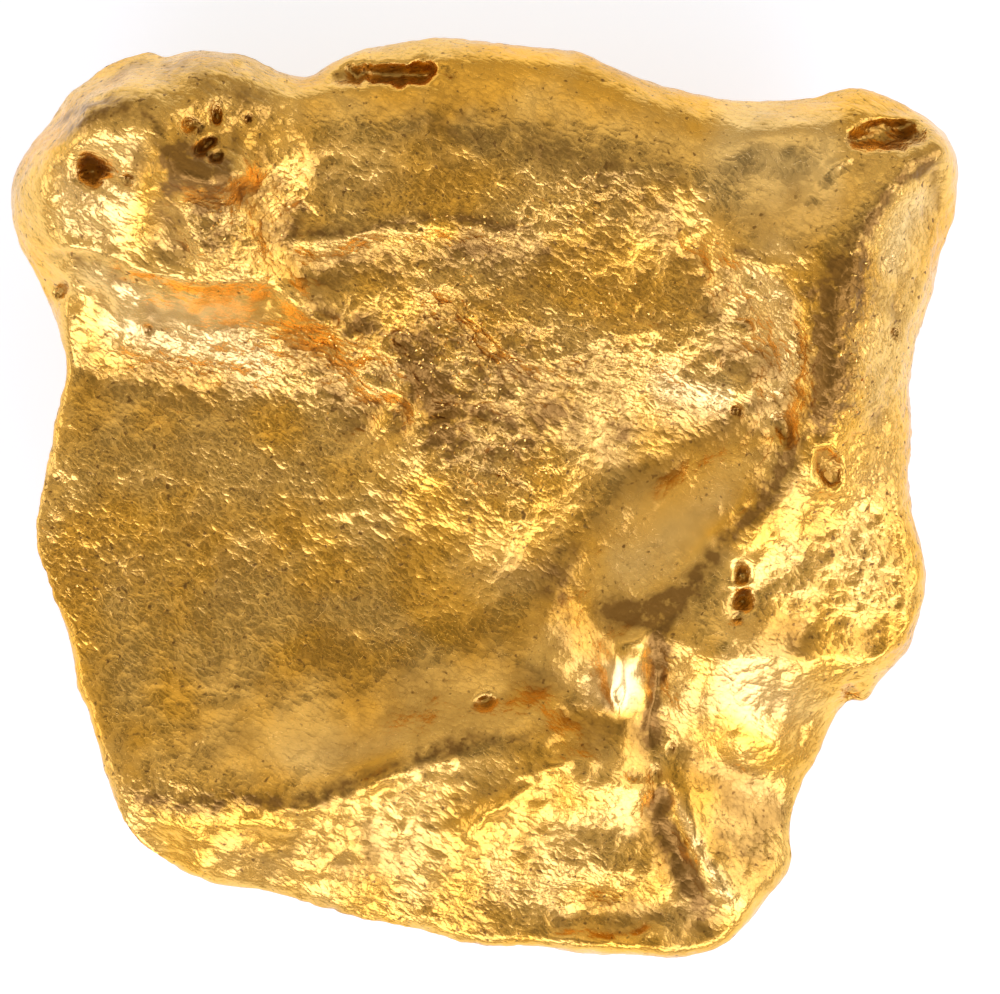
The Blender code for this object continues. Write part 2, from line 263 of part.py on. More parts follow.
# Pits: x, y, half length, half width, turn in degrees, depth (negative for a lump) and lip height.
PITS = (
    (-9.7, 8.05, 0.3, 0.3, 0, 0.8, 0.08),
    (-9.3, 8.1, 0.3, 0.18, -20, 0.25, 0),
    (-8.8, 7.9, 0.1, 0.1, 0, 0.35, 0),
    (-6.6, 9.45, 0.12, 0.23, 10, 0.4, 0.02),
    (-7.2, 9.2, 0.2, 0.12, 30, 0.3, 0.03),
    (-6.95, 9.1, 0.1, 0.12, 0, 0.25, 0),
    (-6.8, 8.7, 0.33, 0.12, 35, 0.45, 0.04),
    (-6.55, 8.45, 0.15, 0.1, 10, 0.35, 0),
    (-5.8, 9.3, 0.1, 0.1, 0, 0.3, 0),
    (-6.15, 10.55, 0.15, 0.23, -30, 0.2, 0.02),
    (-2.25, 10.55, 1.05, 0.23, -4, 0.8, 0.05),
    (-1.5, 10.7, 0.35, 0.2, -12, 0.5, 0),
    (-3.35, 10.4, 0.4, 0.15, -12, 0.4, 0),
    (10, 8.95, 0.85, 0.38, -3, 0.6, 0.06),
    (10.5, 9.1, 0.33, 0.25, 0, 0.3, 0),
    (9.45, 8.8, 0.3, 0.18, 0, 0.3, 0),
    (6.4, -1.9, 0.12, 0.2, 15, 0.45, 0),
    (6.5, -2.55, 0.18, 0.2, 10, 0.6, 0),
    (6.4, -2.2, 0.15, 0.12, 0, -0.15, 0),
    (6.35, -2.95, 0.1, 0.1, 0, 0.3, 0),
    (8.55, 0.8, 0.33, 0.45, 10, 0.25, 0.12),
    (9.15, -4.9, 0.18, 0.2, 0, 0.5, 0.03),
    (0.05, -5.1, 0.23, 0.1, 20, 0.3, 0),
    (6.3, 2.2, 0.1, 0.1, 0, 0.3, 0),
    (7.5, 1.75, 0.2, 0.33, 15, 0.35, 0),
    (6.45, 4.3, 0.23, 0.08, -20, 0.2, 0),
    (6.35, 5.15, 0.28, 0.23, 0, -0.15, 0),
    (6.05, 4.8, 0.23, 0.23, 0, -0.1, 0),
    (5.8, 5.4, 0.2, 0.18, 0, -0.1, 0),
    (5.05, 6.45, 0.25, 0.2, 0, -0.1, 0),
    (5.7, 3.4, 0.23, 0.23, 0, -0.1, 0),
    (7.05, 2.75, 0.33, 0.23, 0, -0.1, 0),
    (6.8, 2, 0.25, 0.23, 0, -0.1, 0),
    (6.4, -0.25, 0.1, 0.08, 0, 0.1, 0),
    (6.8, -0.25, 0.08, 0.08, 0, 0.1, 0),
    (3.15, -9.5, 0.45, 0.5, 0, -0.15, 0),
    (3.5, -4.45, 0.55, 0.85, 0, -0.2, 0),
    (-5.35, -8.1, 0.6, 0.2, -6, -0.15, 0),
    (-0.9, -6.6, 0.23, 0.15, 0, -0.15, 0),
    (-1.85, -6.8, 0.23, 0.15, 0, -0.1, 0),
    (-1.6, -10.5, 0.4, 0.23, 0, -0.15, 0),
    (-1.2, -9.2, 0.3, 0.23, 0, -0.1, 0),
    (-3.5, -8.8, 0.35, 0.25, 0, -0.1, 0),
    (-2.1, -8.4, 0.35, 0.25, 0, -0.1, 0),
    (4.7, -6.3, 0.12, 0.12, 0, 0.2, 0.02),
    (-8.35, 4.15, 0.08, 0.08, 0, 0.2, 0),
    (-10.55, 5.15, 0.23, 0.1, 60, 0.35, 0.02),
    (-7.1, -6.15, 0.1, 0.15, -20, -0.1, 0),
    (10.2, 4.15, 0.08, 0.15, 10, 0.2, 0),
    (7.65, -0.8, 0.35, 0.65, -20, -0.1, 0),
    (7, -1.5, 0.3, 0.5, -20, -0.1, 0),
)


def spline(points, closed=False):
    """Catmull-Rom curve through the points."""
    rows = np.asarray(points, float)
    before = rows[-1:] if closed else 2 * rows[:1] - rows[1:2]
    after = rows[:2] if closed else 2 * rows[-1:] - rows[-2:-1]
    rows = np.vstack((before, rows, after))
    last = rows[1:2] if closed else rows[-2:-1]
    a, b, c, d = (rows[i:len(rows) - 3 + i, None, :] for i in range(4))
    t = (np.arange(SPLINE_STEPS) / SPLINE_STEPS)[None, :, None]
    curve = b + 0.5 * t * (c - a + t * (2 * a - 5 * b + 4 * c - d + t * (3 * (b - c) + d - a)))
    return np.vstack((curve.reshape(-1, rows.shape[1]), last))


def resample(curve, count):
    """The curve's points again, spread evenly by their distance in plan."""
    steps = np.hypot(*np.diff(curve[:, :2], axis=0).T)
    run = np.concatenate(([0.0], np.cumsum(steps)))
    at = np.linspace(0.0, run[-1], count)
    return np.stack([np.interp(at, run, column) for column in curve.T], axis=1)


def survey_points():
    """Every surveyed height, spread along its line."""
    rows = []
    for line in SURVEY.values():
        curve = spline(line)
        length = np.hypot(*np.diff(curve[:, :2], axis=0).T).sum()
        rows.append(resample(curve, 2 + int(length / SURVEY_SPACING)))
    return np.vstack(rows)


def plate_kernel(places, knots):
    """Thin-plate kernel r^2 log r between each place and each knot."""
    squares = ((places[:, None] - knots[None]) ** 2).sum(axis=2)
    return 0.5 * squares * np.log(np.maximum(squares, LEAST_SQUARE))


def thin_plate(points):
    """A function that gives the height, at any places, of the smooth skin through the points."""
    knots = points[:, :2]
    count = len(knots)
    plane = np.column_stack((np.ones(count), knots))
    system = np.zeros((count + 3, count + 3))
    system[:count, :count] = plate_kernel(knots, knots) + SKIN_STIFFNESS * np.eye(count)
    system[:count, count:] = plane
    system[count:, :count] = plane.T
    weights = np.linalg.solve(system, np.concatenate((points[:, 2], np.zeros(3))))

    def height(places):
        flat = np.column_stack((np.ones(len(places)), places)) @ weights[count:]
        return flat + plate_kernel(places, knots) @ weights[:count]

    return height


def smooth_step(value):
    value = np.clip(value, 0.0, 1.0)
    return value * value * (3 - 2 * value)


def crease_height(places, height, left, right, line):
    """A raised or cut crease along a line, with its own width on each side, fading at both ends."""
    curve = spline(line)
    starts, ends = curve[:-1], curve[1:]
    along = ends - starts
    offsets = places[:, None] - starts[None]
    share = np.clip((offsets * along).sum(axis=2) / (along ** 2).sum(axis=1), 0.0, 1.0)
    gaps = offsets - share[:, :, None] * along
    distances = np.hypot(gaps[:, :, 0], gaps[:, :, 1])
    nearest = distances.argmin(axis=1)
    pick = (np.arange(len(places)), nearest)
    gap, way = gaps[pick], along[nearest]
    side = way[:, 0] * gap[:, 1] - way[:, 1] * gap[:, 0]
    width = np.where(side > 0, left, right)
    progress = (nearest + share[pick]) / len(starts)
    fade = smooth_step(progress / CREASE_FADE) * smooth_step((1 - progress) / CREASE_FADE)
    return height * fade * np.exp(-(distances[pick] / width) ** CREASE_SHARPNESS)


def pit_height(places, ragged, x, y, half_length, half_width, turn, depth, lip):
    """A ragged pit with a raised lip; a negative depth makes a small lump."""
    angle = math.radians(turn)
    offset = places - (x, y)
    u = (offset @ (math.cos(angle), math.sin(angle))) / half_length
    v = (offset @ (-math.sin(angle), math.cos(angle))) / half_width
    radius = np.hypot(u, v) * ragged
    ring = np.exp(-((radius - PIT_LIP_PLACE) / PIT_LIP_WIDTH) ** 2)
    return lip * ring - depth * np.exp(-PIT_STEEPNESS * radius ** 3)


def near(places, centre, reach):
    """Which places lie in the square of that half size about the centre."""
    return (np.abs(places - centre) < reach).all(axis=1)


def waver(places):
    """The places moved a little sideways, so that every surveyed line and crease runs unevenly."""
    moved = places.copy()
    for size, reach, seed in WAVER:
        start = seed * Vector(DRIFT_STEP)
        drift = [noise.noise_vector(Vector((x, y, 0.0)) / size + start)[:2] for x, y in places.tolist()]
        moved += reach * np.array(drift)
    return moved


def skin_height(places):
    """Height of the upper skin at the places, before it rolls over the rim."""
    places = waver(places)
    height = thin_plate(survey_points())(places)
    level = np.column_stack((places, np.zeros(len(places))))
    strength = 1 + CREASE_BREAK * noise_field(level, CREASE_BREAK_SIZE, CREASE_SEED)
    ragged = 1 + PIT_RAGGED * noise_field(level, PIT_RAGGED_SIZE, PIT_SEED)
    for rise, left, right, line in CREASES.values():
        low, high = np.min(line, axis=0), np.max(line, axis=0)
        reach = (high - low) / 2 + FADE_REACH * max(left, right)
        inside = near(places, (low + high) / 2, reach)
        height[inside] += strength[inside] * crease_height(places[inside], rise, left, right, line)
    for pit in PITS:
        inside = near(places, pit[:2], FADE_REACH * max(pit[2:4]))
        height[inside] += pit_height(places[inside], ragged[inside], *pit)
    return height


def square_rings(cells):
    """Grid of a square: each vertex's ring, counted from the middle, and its share of the way round."""
    half = cells // 2
    u, v = np.meshgrid(np.arange(-half, half + 1), np.arange(-half, half + 1), indexing="ij")
    ring = np.maximum(abs(u), abs(v))
    sides = [(u == ring) & (v < ring), (v == ring) & (u > -ring), (u == -ring) & (v > -ring)]
    walked = np.select(sides, [v + ring, 3 * ring - u, 5 * ring - v], 7 * ring + u)
    return ring.ravel(), (walked / np.maximum(8 * ring, 1)).ravel()


def plan_grid(cells, rim):
    """Places of the grid's vertices inside the rim, closer together beside it."""
    ring, share = square_rings(cells)
    half = cells // 2
    inward = (half - ring).astype(float)
    progress = inward ** 2 / (inward + EDGE_CELLS)
    spread = 1 - progress / (half ** 2 / (half + EDGE_CELLS))
    edge = rim[np.round(share * len(rim)).astype(int) % len(rim), :2]
    return ring, share, spread[:, None] * edge


def rim_distance(places, rim):
    """How far in from the rim each place is, and the number of the rim's nearest point."""
    distances = np.hypot(*(places[:, None] - rim[None, :, :2]).transpose(2, 0, 1))
    nearest = distances.argmin(axis=1)
    return distances.min(axis=1), nearest


def soft_inset(places, rim):
    """How far in from the whole rim each place is, without a crease where two sides are as near, and
    the height of the rim round about it.

    Each piece of the rim pulls by the inverse fourth power of its distance. A straight side at the
    distance d pulls pi / (2 d^3) in all, and that is turned back into a distance.
    """
    ahead = np.roll(rim, -1, axis=0)
    step = np.hypot(ahead[:, 0] - rim[:, 0], ahead[:, 1] - rim[:, 1])
    distances = np.hypot(*(places[:, None] - rim[None, :, :2]).transpose(2, 0, 1))
    pull = step / np.maximum(distances, LEAST_INSET) ** 4
    total = pull.sum(axis=1)
    return (2 * total / math.pi) ** (-1 / 3), pull @ rim[:, 2] / total


def rounded(inset, shoulder):
    """Quarter round: 0 at the rim, 1 from the shoulder inwards."""
    share = np.clip(inset / shoulder, 0.0, 1.0)
    return np.sqrt(1 - (1 - share) ** 2)


def noise_field(places, size, seed):
    """Smooth seeded noise at the places, with lumps of about that size."""
    offset = seed * Vector(NOISE_STEP)
    return np.array([noise.noise(Vector(place) / size + offset) for place in places.tolist()])


def rim_curve(cells):
    """The rim's points, four for each cell across, starting at the front right corner of the grid."""
    rim = resample(spline(RIM, closed=True), 4 * cells + 1)[:-1]
    angles = np.arctan2(rim[:, 1], rim[:, 0])
    if np.cross(rim[:, :2], np.roll(rim[:, :2], -1, axis=0)).sum() < 0:
        rim, angles = rim[::-1], angles[::-1]
    return np.roll(rim, -int(abs(angles + math.pi / 4).argmin()), axis=0)


def upper_skin(cells, rim):
    """Vertices of the upper skin, rolled over the rim."""
    ring, _, places = plan_grid(cells, rim)
    inset, nearest = rim_distance(places, rim)
    edge, shoulder = rim[nearest, 2], rim[nearest, 3]
    height = edge + (skin_height(places) - edge) * rounded(inset, shoulder)
    height[ring == cells // 2] = edge[ring == cells // 2]
    return np.column_stack((places, height))


def under_skin(cells, rim):
    """Vertices of the underside: it rounds in below the rim and sinks to a worn flat."""
    _, _, places = plan_grid(cells, rim)
    inset, edge = soft_inset(places, rim)
    climb = np.clip(1 - inset / KEEL_INSET, 0.0, 1.0)
    level = np.column_stack((places, np.zeros(len(places))))
    swell = sum(height * noise_field(level, size, seed) for size, height, seed in UNDER_WAVES)
    belly = np.maximum((edge - UNDER_LIP) * climb ** UNDER_CURVE + swell * np.sqrt(climb) - WEAR, 0.0)
    nearest = rim_distance(places, rim)[0]
    return np.column_stack((places, edge - (edge - belly) * rounded(nearest, UNDER_SHOULDER)))


def walk_rim(cells):
    """Numbers of the grid's rim vertices, in the order of the rim's points."""
    ring, share = square_rings(cells)
    outer = np.flatnonzero(ring == cells // 2)
    return outer[np.argsort(share[outer])]


def grid_faces(cells):
    """Quads of a grid, facing up."""
    number = np.arange((cells + 1) ** 2).reshape(cells + 1, cells + 1)
    corners = (number[:-1, :-1], number[1:, :-1], number[1:, 1:], number[:-1, 1:])
    return np.stack([corner.ravel() for corner in corners], axis=1).tolist()


def close_below(faces, cells, upper_rim, first):
    """The underside's faces, turned down and sewn to the upper rim, which has twice its vertices."""
    ring, _ = square_rings(cells)
    inner = ring < cells // 2
    number = np.cumsum(inner) - 1 + first
    partner = {int(vertex): place for place, vertex in enumerate(walk_rim(cells))}
    count = len(partner)
    sewn = []
    for face in faces:
        loop = []
        turned = face[::-1]
        for vertex, following in zip(turned, turned[1:] + turned[:1]):
            place, target = partner.get(vertex), partner.get(following)
            if place is None:
                loop.append(int(number[vertex]))
                continue
            loop.append(int(upper_rim[2 * place]))
            if target is not None and (target - place) % count in (1, count - 1):
                ahead = (target - place) % count == 1
                between = 2 * place + 1 if ahead else 2 * place - 1
                loop.append(int(upper_rim[between % (2 * count)]))
        sewn.append(loop)
    return inner, sewn


def smooth_body(cells):
    """The nugget's broad shape as vertices and faces, and how much relief each vertex takes."""
    rim = rim_curve(cells)
    upper = upper_skin(cells, rim)
    under = under_skin(cells // 2, rim[::2])
    inner, sewn = close_below(grid_faces(cells // 2), cells // 2, walk_rim(cells), len(upper))
    relief = np.ones(len(upper))
    worn = smooth_step(under[inner, 2] / WORN_FADE)
    vertices = np.vstack((upper, under[inner]))
    return vertices, grid_faces(cells) + sewn, np.concatenate((relief, worn))


def vertex_normals(mesh):
    normals = np.empty(3 * len(mesh.vertices))
    mesh.vertex_normals.foreach_get("vector", normals)
    return normals.reshape(-1, 3)


def roughen(mesh, vertices, share):
    """Push each vertex along its normal by the relief, and leave the worn flat as it is."""
    push = sum(height * noise_field(vertices, size, seed) for size, height, seed in RELIEF)
    moved = vertices + vertex_normals(mesh) * (push * share)[:, None]
    mesh.vertices.foreach_set("co", moved.ravel())
    mesh.update()


def reduce_facets(piece):
    """Collapse the dense mesh to the facets that its shape needs."""
    triangles = sum(len(face.vertices) - 2 for face in piece.data.polygons)
    modifier = piece.modifiers.new("Facets", 'DECIMATE')
    modifier.ratio = FACETS / triangles
    bpy.context.view_layer.update()
    evaluated = piece.evaluated_get(bpy.context.evaluated_depsgraph_get())
    reduced = bpy.data.meshes.new_from_object(evaluated)
    piece.modifiers.remove(modifier)
    piece.data = reduced


def settle(mesh):
    """Lay the worn flat exactly on the ground, centre the box on the origin, and scale to metres."""
    points = np.empty(3 * len(mesh.vertices))
    mesh.vertices.foreach_get("co", points)
    points = points.reshape(-1, 3)
    points[points[:, 2] < FLAT_SNAP, 2] = 0.0
    points[:, :2] -= (points[:, :2].min(axis=0) + points[:, :2].max(axis=0)) / 2
    mesh.vertices.foreach_set("co", (points * MM).ravel())
    mesh.update()


def gold_material():
    material = bpy.data.materials.new("native_gold")
    material.use_nodes = True
    shader = material.node_tree.nodes["Principled BSDF"]
    shader.inputs["Base Color"].default_value = (*GOLD_COLOUR, 1.0)
    shader.inputs["Metallic"].default_value = 1.0
    shader.inputs["Roughness"].default_value = GOLD_ROUGHNESS
    return material


def build_nugget():
    vertices, faces, share = smooth_body(SKIN_CELLS)
    mesh = bpy.data.meshes.new("nugget")
    mesh.from_pydata(vertices.tolist(), [], faces)
    mesh.update()
    roughen(mesh, vertices, share)
    nugget = bpy.data.objects.new("nugget", mesh)
    bpy.context.scene.collection.objects.link(nugget)
    reduce_facets(nugget)
    settle(nugget.data)
    nugget.data.materials.append(gold_material())
    nugget.data.shade_smooth()
    return nugget


for old in list(bpy.data.objects):
    bpy.data.objects.remove(old)
build_nugget()
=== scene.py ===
"""Gold nugget, dressed: the skin, its crystal grains and the stage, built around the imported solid.

The skin is surveyed as the solid is: named lines follow its ridges, ledges, feet and hollows, one
thin-plate surface is drawn through them, and creases, pits and relief are laid on it. Here the mesh is
fine enough to carry the relief down to a tenth of a millimetre, and Geometry Nodes roughen it and
sprinkle the crystal grains. The tables are in millimetres, and the meshes and settings in metres.
"""

import math

import bpy
import numpy as np
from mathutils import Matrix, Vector, noise


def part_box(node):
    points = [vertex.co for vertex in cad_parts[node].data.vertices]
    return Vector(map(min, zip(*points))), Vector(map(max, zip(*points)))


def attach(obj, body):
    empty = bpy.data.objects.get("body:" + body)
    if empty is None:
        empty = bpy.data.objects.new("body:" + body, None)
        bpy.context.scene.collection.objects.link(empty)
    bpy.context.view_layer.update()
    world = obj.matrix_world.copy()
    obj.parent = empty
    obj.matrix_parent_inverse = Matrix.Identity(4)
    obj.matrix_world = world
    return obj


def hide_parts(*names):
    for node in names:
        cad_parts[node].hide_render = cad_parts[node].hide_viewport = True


bl_info = {
    "name": "Gold Nugget",
    "version": (1, 0, 0),
    "blender": (4, 5, 0),
    "location": "3D View > Sidebar > Nugget",
    "description": "Builds a nugget of native gold with its crystal grains and a plain stage",
    "category": "Object",
}

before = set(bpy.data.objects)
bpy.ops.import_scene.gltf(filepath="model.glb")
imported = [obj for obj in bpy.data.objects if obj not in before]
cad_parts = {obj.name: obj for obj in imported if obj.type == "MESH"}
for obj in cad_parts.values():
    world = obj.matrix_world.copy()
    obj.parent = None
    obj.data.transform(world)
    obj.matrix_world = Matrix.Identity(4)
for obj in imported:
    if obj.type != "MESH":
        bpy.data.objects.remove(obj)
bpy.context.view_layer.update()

MM = 0.001

# How the survey becomes a skin, in millimetres.
SURVEY_SPACING = 0.6     # between the heights read along a survey line
SKIN_STIFFNESS = 0.02    # how far the skin may miss a survey line to stay smooth
UNDER_SHOULDER = 1.9     # how far in from the rim the underside rounds over
UNDER_LIP = 1.0          # how far below the rim the underside's edge lies
KEEL_INSET = 6.5         # how far in from the whole rim the underside is at its lowest
WEAR = 0.14              # how much of the lowest part is worn off flat

# Broad relief of the whole skin: the size of one lump, its height, and a seed for each.
RELIEF = ((1.9, 0.10, 1), (0.85, 0.035, 2))

# Swells of the underside: the size of one, its height, and a seed for each.
UNDER_WAVES = ((4.5, 0.55, 9), (2.1, 0.25, 14))

# How the lines waver sideways: the size of one bend, how far it strays, and a seed for each.
WAVER = ((1.7, 0.10, 21), (0.6, 0.05, 22), (0.3, 0.03, 23))

SPLINE_STEPS = 12        # pieces between two points of a curve
EDGE_CELLS = 6           # cells by the rim that are packed closer to round it

# Shapes of the small forms.
CREASE_SHARPNESS = 1.6   # 2 makes a round crease, 1 a sharp one
CREASE_FADE = 0.2        # share of a crease's length that each end takes to fade
CREASE_BREAK = 1.4       # how unevenly a crease runs up and down
CREASE_BREAK_SIZE = 0.4
CREASE_SEED = 31
PIT_STEEPNESS = 0.9
PIT_LIP_PLACE = 1.25     # in pit radii from its middle
PIT_LIP_WIDTH = 0.3
PIT_RAGGED = 0.4         # how uneven a pit's edge is
PIT_RAGGED_SIZE = 0.3
PIT_SEED = 41
FADE_REACH = 3.0         # in widths or radii, past which a crease or a pit adds nothing
UNDER_CURVE = 1.8        # how hollow the climb from the flat to the rim is
LEAST_INSET = 0.001      # keeps the sums finite on the rim itself
LEAST_SQUARE = 1e-12
NOISE_STEP = (7.3, 3.1, 1.7)    # how far apart two seeds look into the noise
DRIFT_STEP = (2.7, 5.9, 0.0)
WORN_FADE = 0.5          # height above the flat at which the relief is whole again

# Finish.
CRYSTALLINE_BASE = 0.30   # how crystalline the skin is outside every zone
LUMPY_BASE = 0.7         # how lumpy it is there
LUMPY_LEAST = 0.15
LUMPY_MOST = 1.5
COARSE_POWER = 2.2       # how fast the coarse crystals fade where the skin is less crystalline
HOLLOW_ROUNDS = 16       # rounds of smoothing that the hollows are read against
HOLLOW_DEPTH = 0.035     # depth in millimetres that counts as a full hollow
GRAINS_FROM = 0.55       # how crystalline the skin is where grains begin
# patina and painted shade: how much the small hollows are darkened
HOLLOW_PATINA_AND_SHADE = 0.42
STAIN_CLOUDS = 0.9
# painted shade: how much the crevices between the crystals are darkened
CREVICE_PAINTED_SHADE = 1.0
SPECKS_FROM = 0.66
STAIN_SPECKS = 9.0
SPECKS_IN_GRAIN = 2.5
# painted shade: how strongly the dark bands darken the gold
PAINTED_SHADE_IN_BANDS = 1.0
WARM_SHARE = 1.0
# painted sheen: how far the pale bands turn the gold to its pale colour
PAINTED_SHEEN_SHARE = 1.0
MOTTLE = 3.6              # how patchy the bands of painted shade are
STAIN_BASE = 0.02
STAIN_AND_SHADE_MOST = 0.93
STAIN_AND_SHADE_ROUGHNESS = 0.35
# stain and painted shade: how much darker crystalline skin is made
CRYSTALLINE_STAIN_AND_SHADE = 0.15
GRAIN_ROUGHNESS = 0.22
SMOOTH_GRAIN = 0.05      # share of the grain that the smoothest skin still has
# Crystals of the finish: how many to a metre, how far they lean, and how much they bulge.
FACETS = ((3000.0, 0.20, 0.34), (8000.0, 0.13, 0.22))
GRAIN_RUN = -38.0        # bearing of the crystals, in degrees from +X
GRAIN_STRETCH = (1.5, 0.85, 1.0)
GRIT_BUMP = 0.000014

# Stage, in metres, degrees and brightness.
FLOOR_SIZE = 4.0
# painted light: colour and brightness of the floor's glow round the nugget
FLOOR_PAINTED_GLOW = (0.50, 0.55, 0.60)
PAINTED_GLOW_REACH = 0.04        # how far from the nugget the floor's painted light glows
TENT = ((0.0, 0.5), (1.0, 0.10), (0.99, 0.20), (0.96, 0.46), (0.88, 0.58), (0.5, 0.58))
TENT_TINT = (1.0, 0.9, 0.76)
KEY_TINT = (0.95, 1.02, 1.6)
SIDE_TINT = (1.0, 1.02, 1.4)
BACK_TINT = (1.0, 0.94, 0.86)
LIGHT_REACH = 0.2
CAMERA_HEIGHT = 0.2
RIM_LEVEL = 0.005        # the level that the view's width is measured at
VIEW_WIDTH = 0.025
VIEW_CENTRE = (0.4, 0.05)

# The rim, which is the outline seen from above: x, y, its height, and how far in the skin rounds over.
RIM = (
    (-11.8, 7.1, 4.9, 1.1), (-11.8, 7.9, 4.9, 1.1), (-11.4, 8.8, 4.9, 1.1), (-10.8, 9.5, 4.9, 1.1),
    (-10.2, 10.2, 5.6, 0.8), (-9.3, 10.8, 5.6, 0.8), (-8.4, 11.1, 5.6, 0.8), (-7.9, 11, 5.6, 0.8),
    (-7.1, 11.2, 5.6, 0.8), (-6.1, 11.1, 5.5, 0.8), (-5, 10.7, 5.4, 0.8), (-4.4, 10.6, 5.3, 0.8),
    (-3.8, 10.9, 5.3, 0.8), (-3, 11.2, 5.3, 0.8), (-2, 11.4, 5.3, 0.8), (-1, 11.5, 5.4, 0.8),
    (0, 11.4, 5.4, 0.8), (1.4, 11.3, 5.4, 0.8), (2.4, 11.2, 5.4, 0.8), (3.1, 10.9, 5.4, 0.8),
    (3.9, 10.5, 5.4, 0.8), (4.8, 10.2, 5.4, 0.8), (5.9, 10, 5.4, 0.8), (7.3, 9.9, 5.5, 0.8),
    (8.3, 10, 5.6, 0.8), (9.2, 10.2, 5.7, 0.8), (10, 10, 5.7, 0.8), (10.9, 9.6, 5.3, 0.45),
    (11.6, 8.9, 5.3, 0.45), (11.8, 8.2, 5.2, 0.45), (11.8, 7.2, 5.1, 0.45), (11.5, 6.2, 5, 0.45),
    (11.2, 5, 4.9, 0.45), (10.8, 4, 4.8, 0.45), (10.7, 2.8, 4.7, 0.45), (10.7, 1.5, 4.7, 0.45),
    (10.7, 0, 4.6, 0.45), (10.9, -1, 4.5, 0.45), (11.1, -2, 4.4, 0.45), (11, -2.8, 4.3, 0.45),
    (10.7, -3.7, 4, 0.45), (10, -4.5, 3.9, 0.45), (9.6, -5, 3.9, 0.45), (9.2, -5, 3.9, 0.45),
    (8.8, -5.4, 3.9, 0.45), (8.4, -6.4, 3.8, 0.45), (7.9, -7.6, 3.7, 0.45), (7.7, -8.5, 3.7, 0.45),
    (7.7, -9.1, 3.8, 0.45), (7.3, -9.8, 3.9, 0.45), (6.7, -10.6, 3.9, 0.4), (6, -11.2, 4.1, 0.4),
    (5.2, -11.5, 4.1, 0.4), (3.9, -11.5, 4, 0.4), (2.4, -11.4, 3.9, 0.4), (1, -11.2, 4.2, 0.3),
    (-0.3, -11.2, 4.1, 0.3), (-1.6, -10.9, 4, 0.3), (-3.1, -10.5, 4, 0.3), (-4.5, -10.2, 3.9, 0.3),
    (-5.1, -10, 3.9, 0.3), (-6.8, -9.6, 3.9, 0.3), (-7.8, -9.2, 3.9, 0.3), (-8.7, -8.5, 4.55, 0.3),
    (-9.2, -7.6, 4.55, 0.3), (-9.6, -6.6, 4.55, 0.3), (-9.9, -5.4, 4.55, 0.3),
    (-10.2, -4.7, 4.55, 0.3), (-10.4, -3.6, 4.55, 0.3), (-10.8, -2.3, 4.7, 0.3),
    (-11.2, -1.1, 4.7, 0.3), (-11.2, -0.1, 4.7, 0.3), (-11, 0.8, 4.7, 0.3), (-10.7, 2, 4.7, 0.3),
    (-10.5, 3, 4.7, 0.3), (-10.5, 3.7, 4.7, 0.3), (-10.8, 4.7, 4.3, 0.45), (-11.2, 5.6, 4.9, 1.1),
    (-11.6, 6.4, 4.9, 1.1),
)

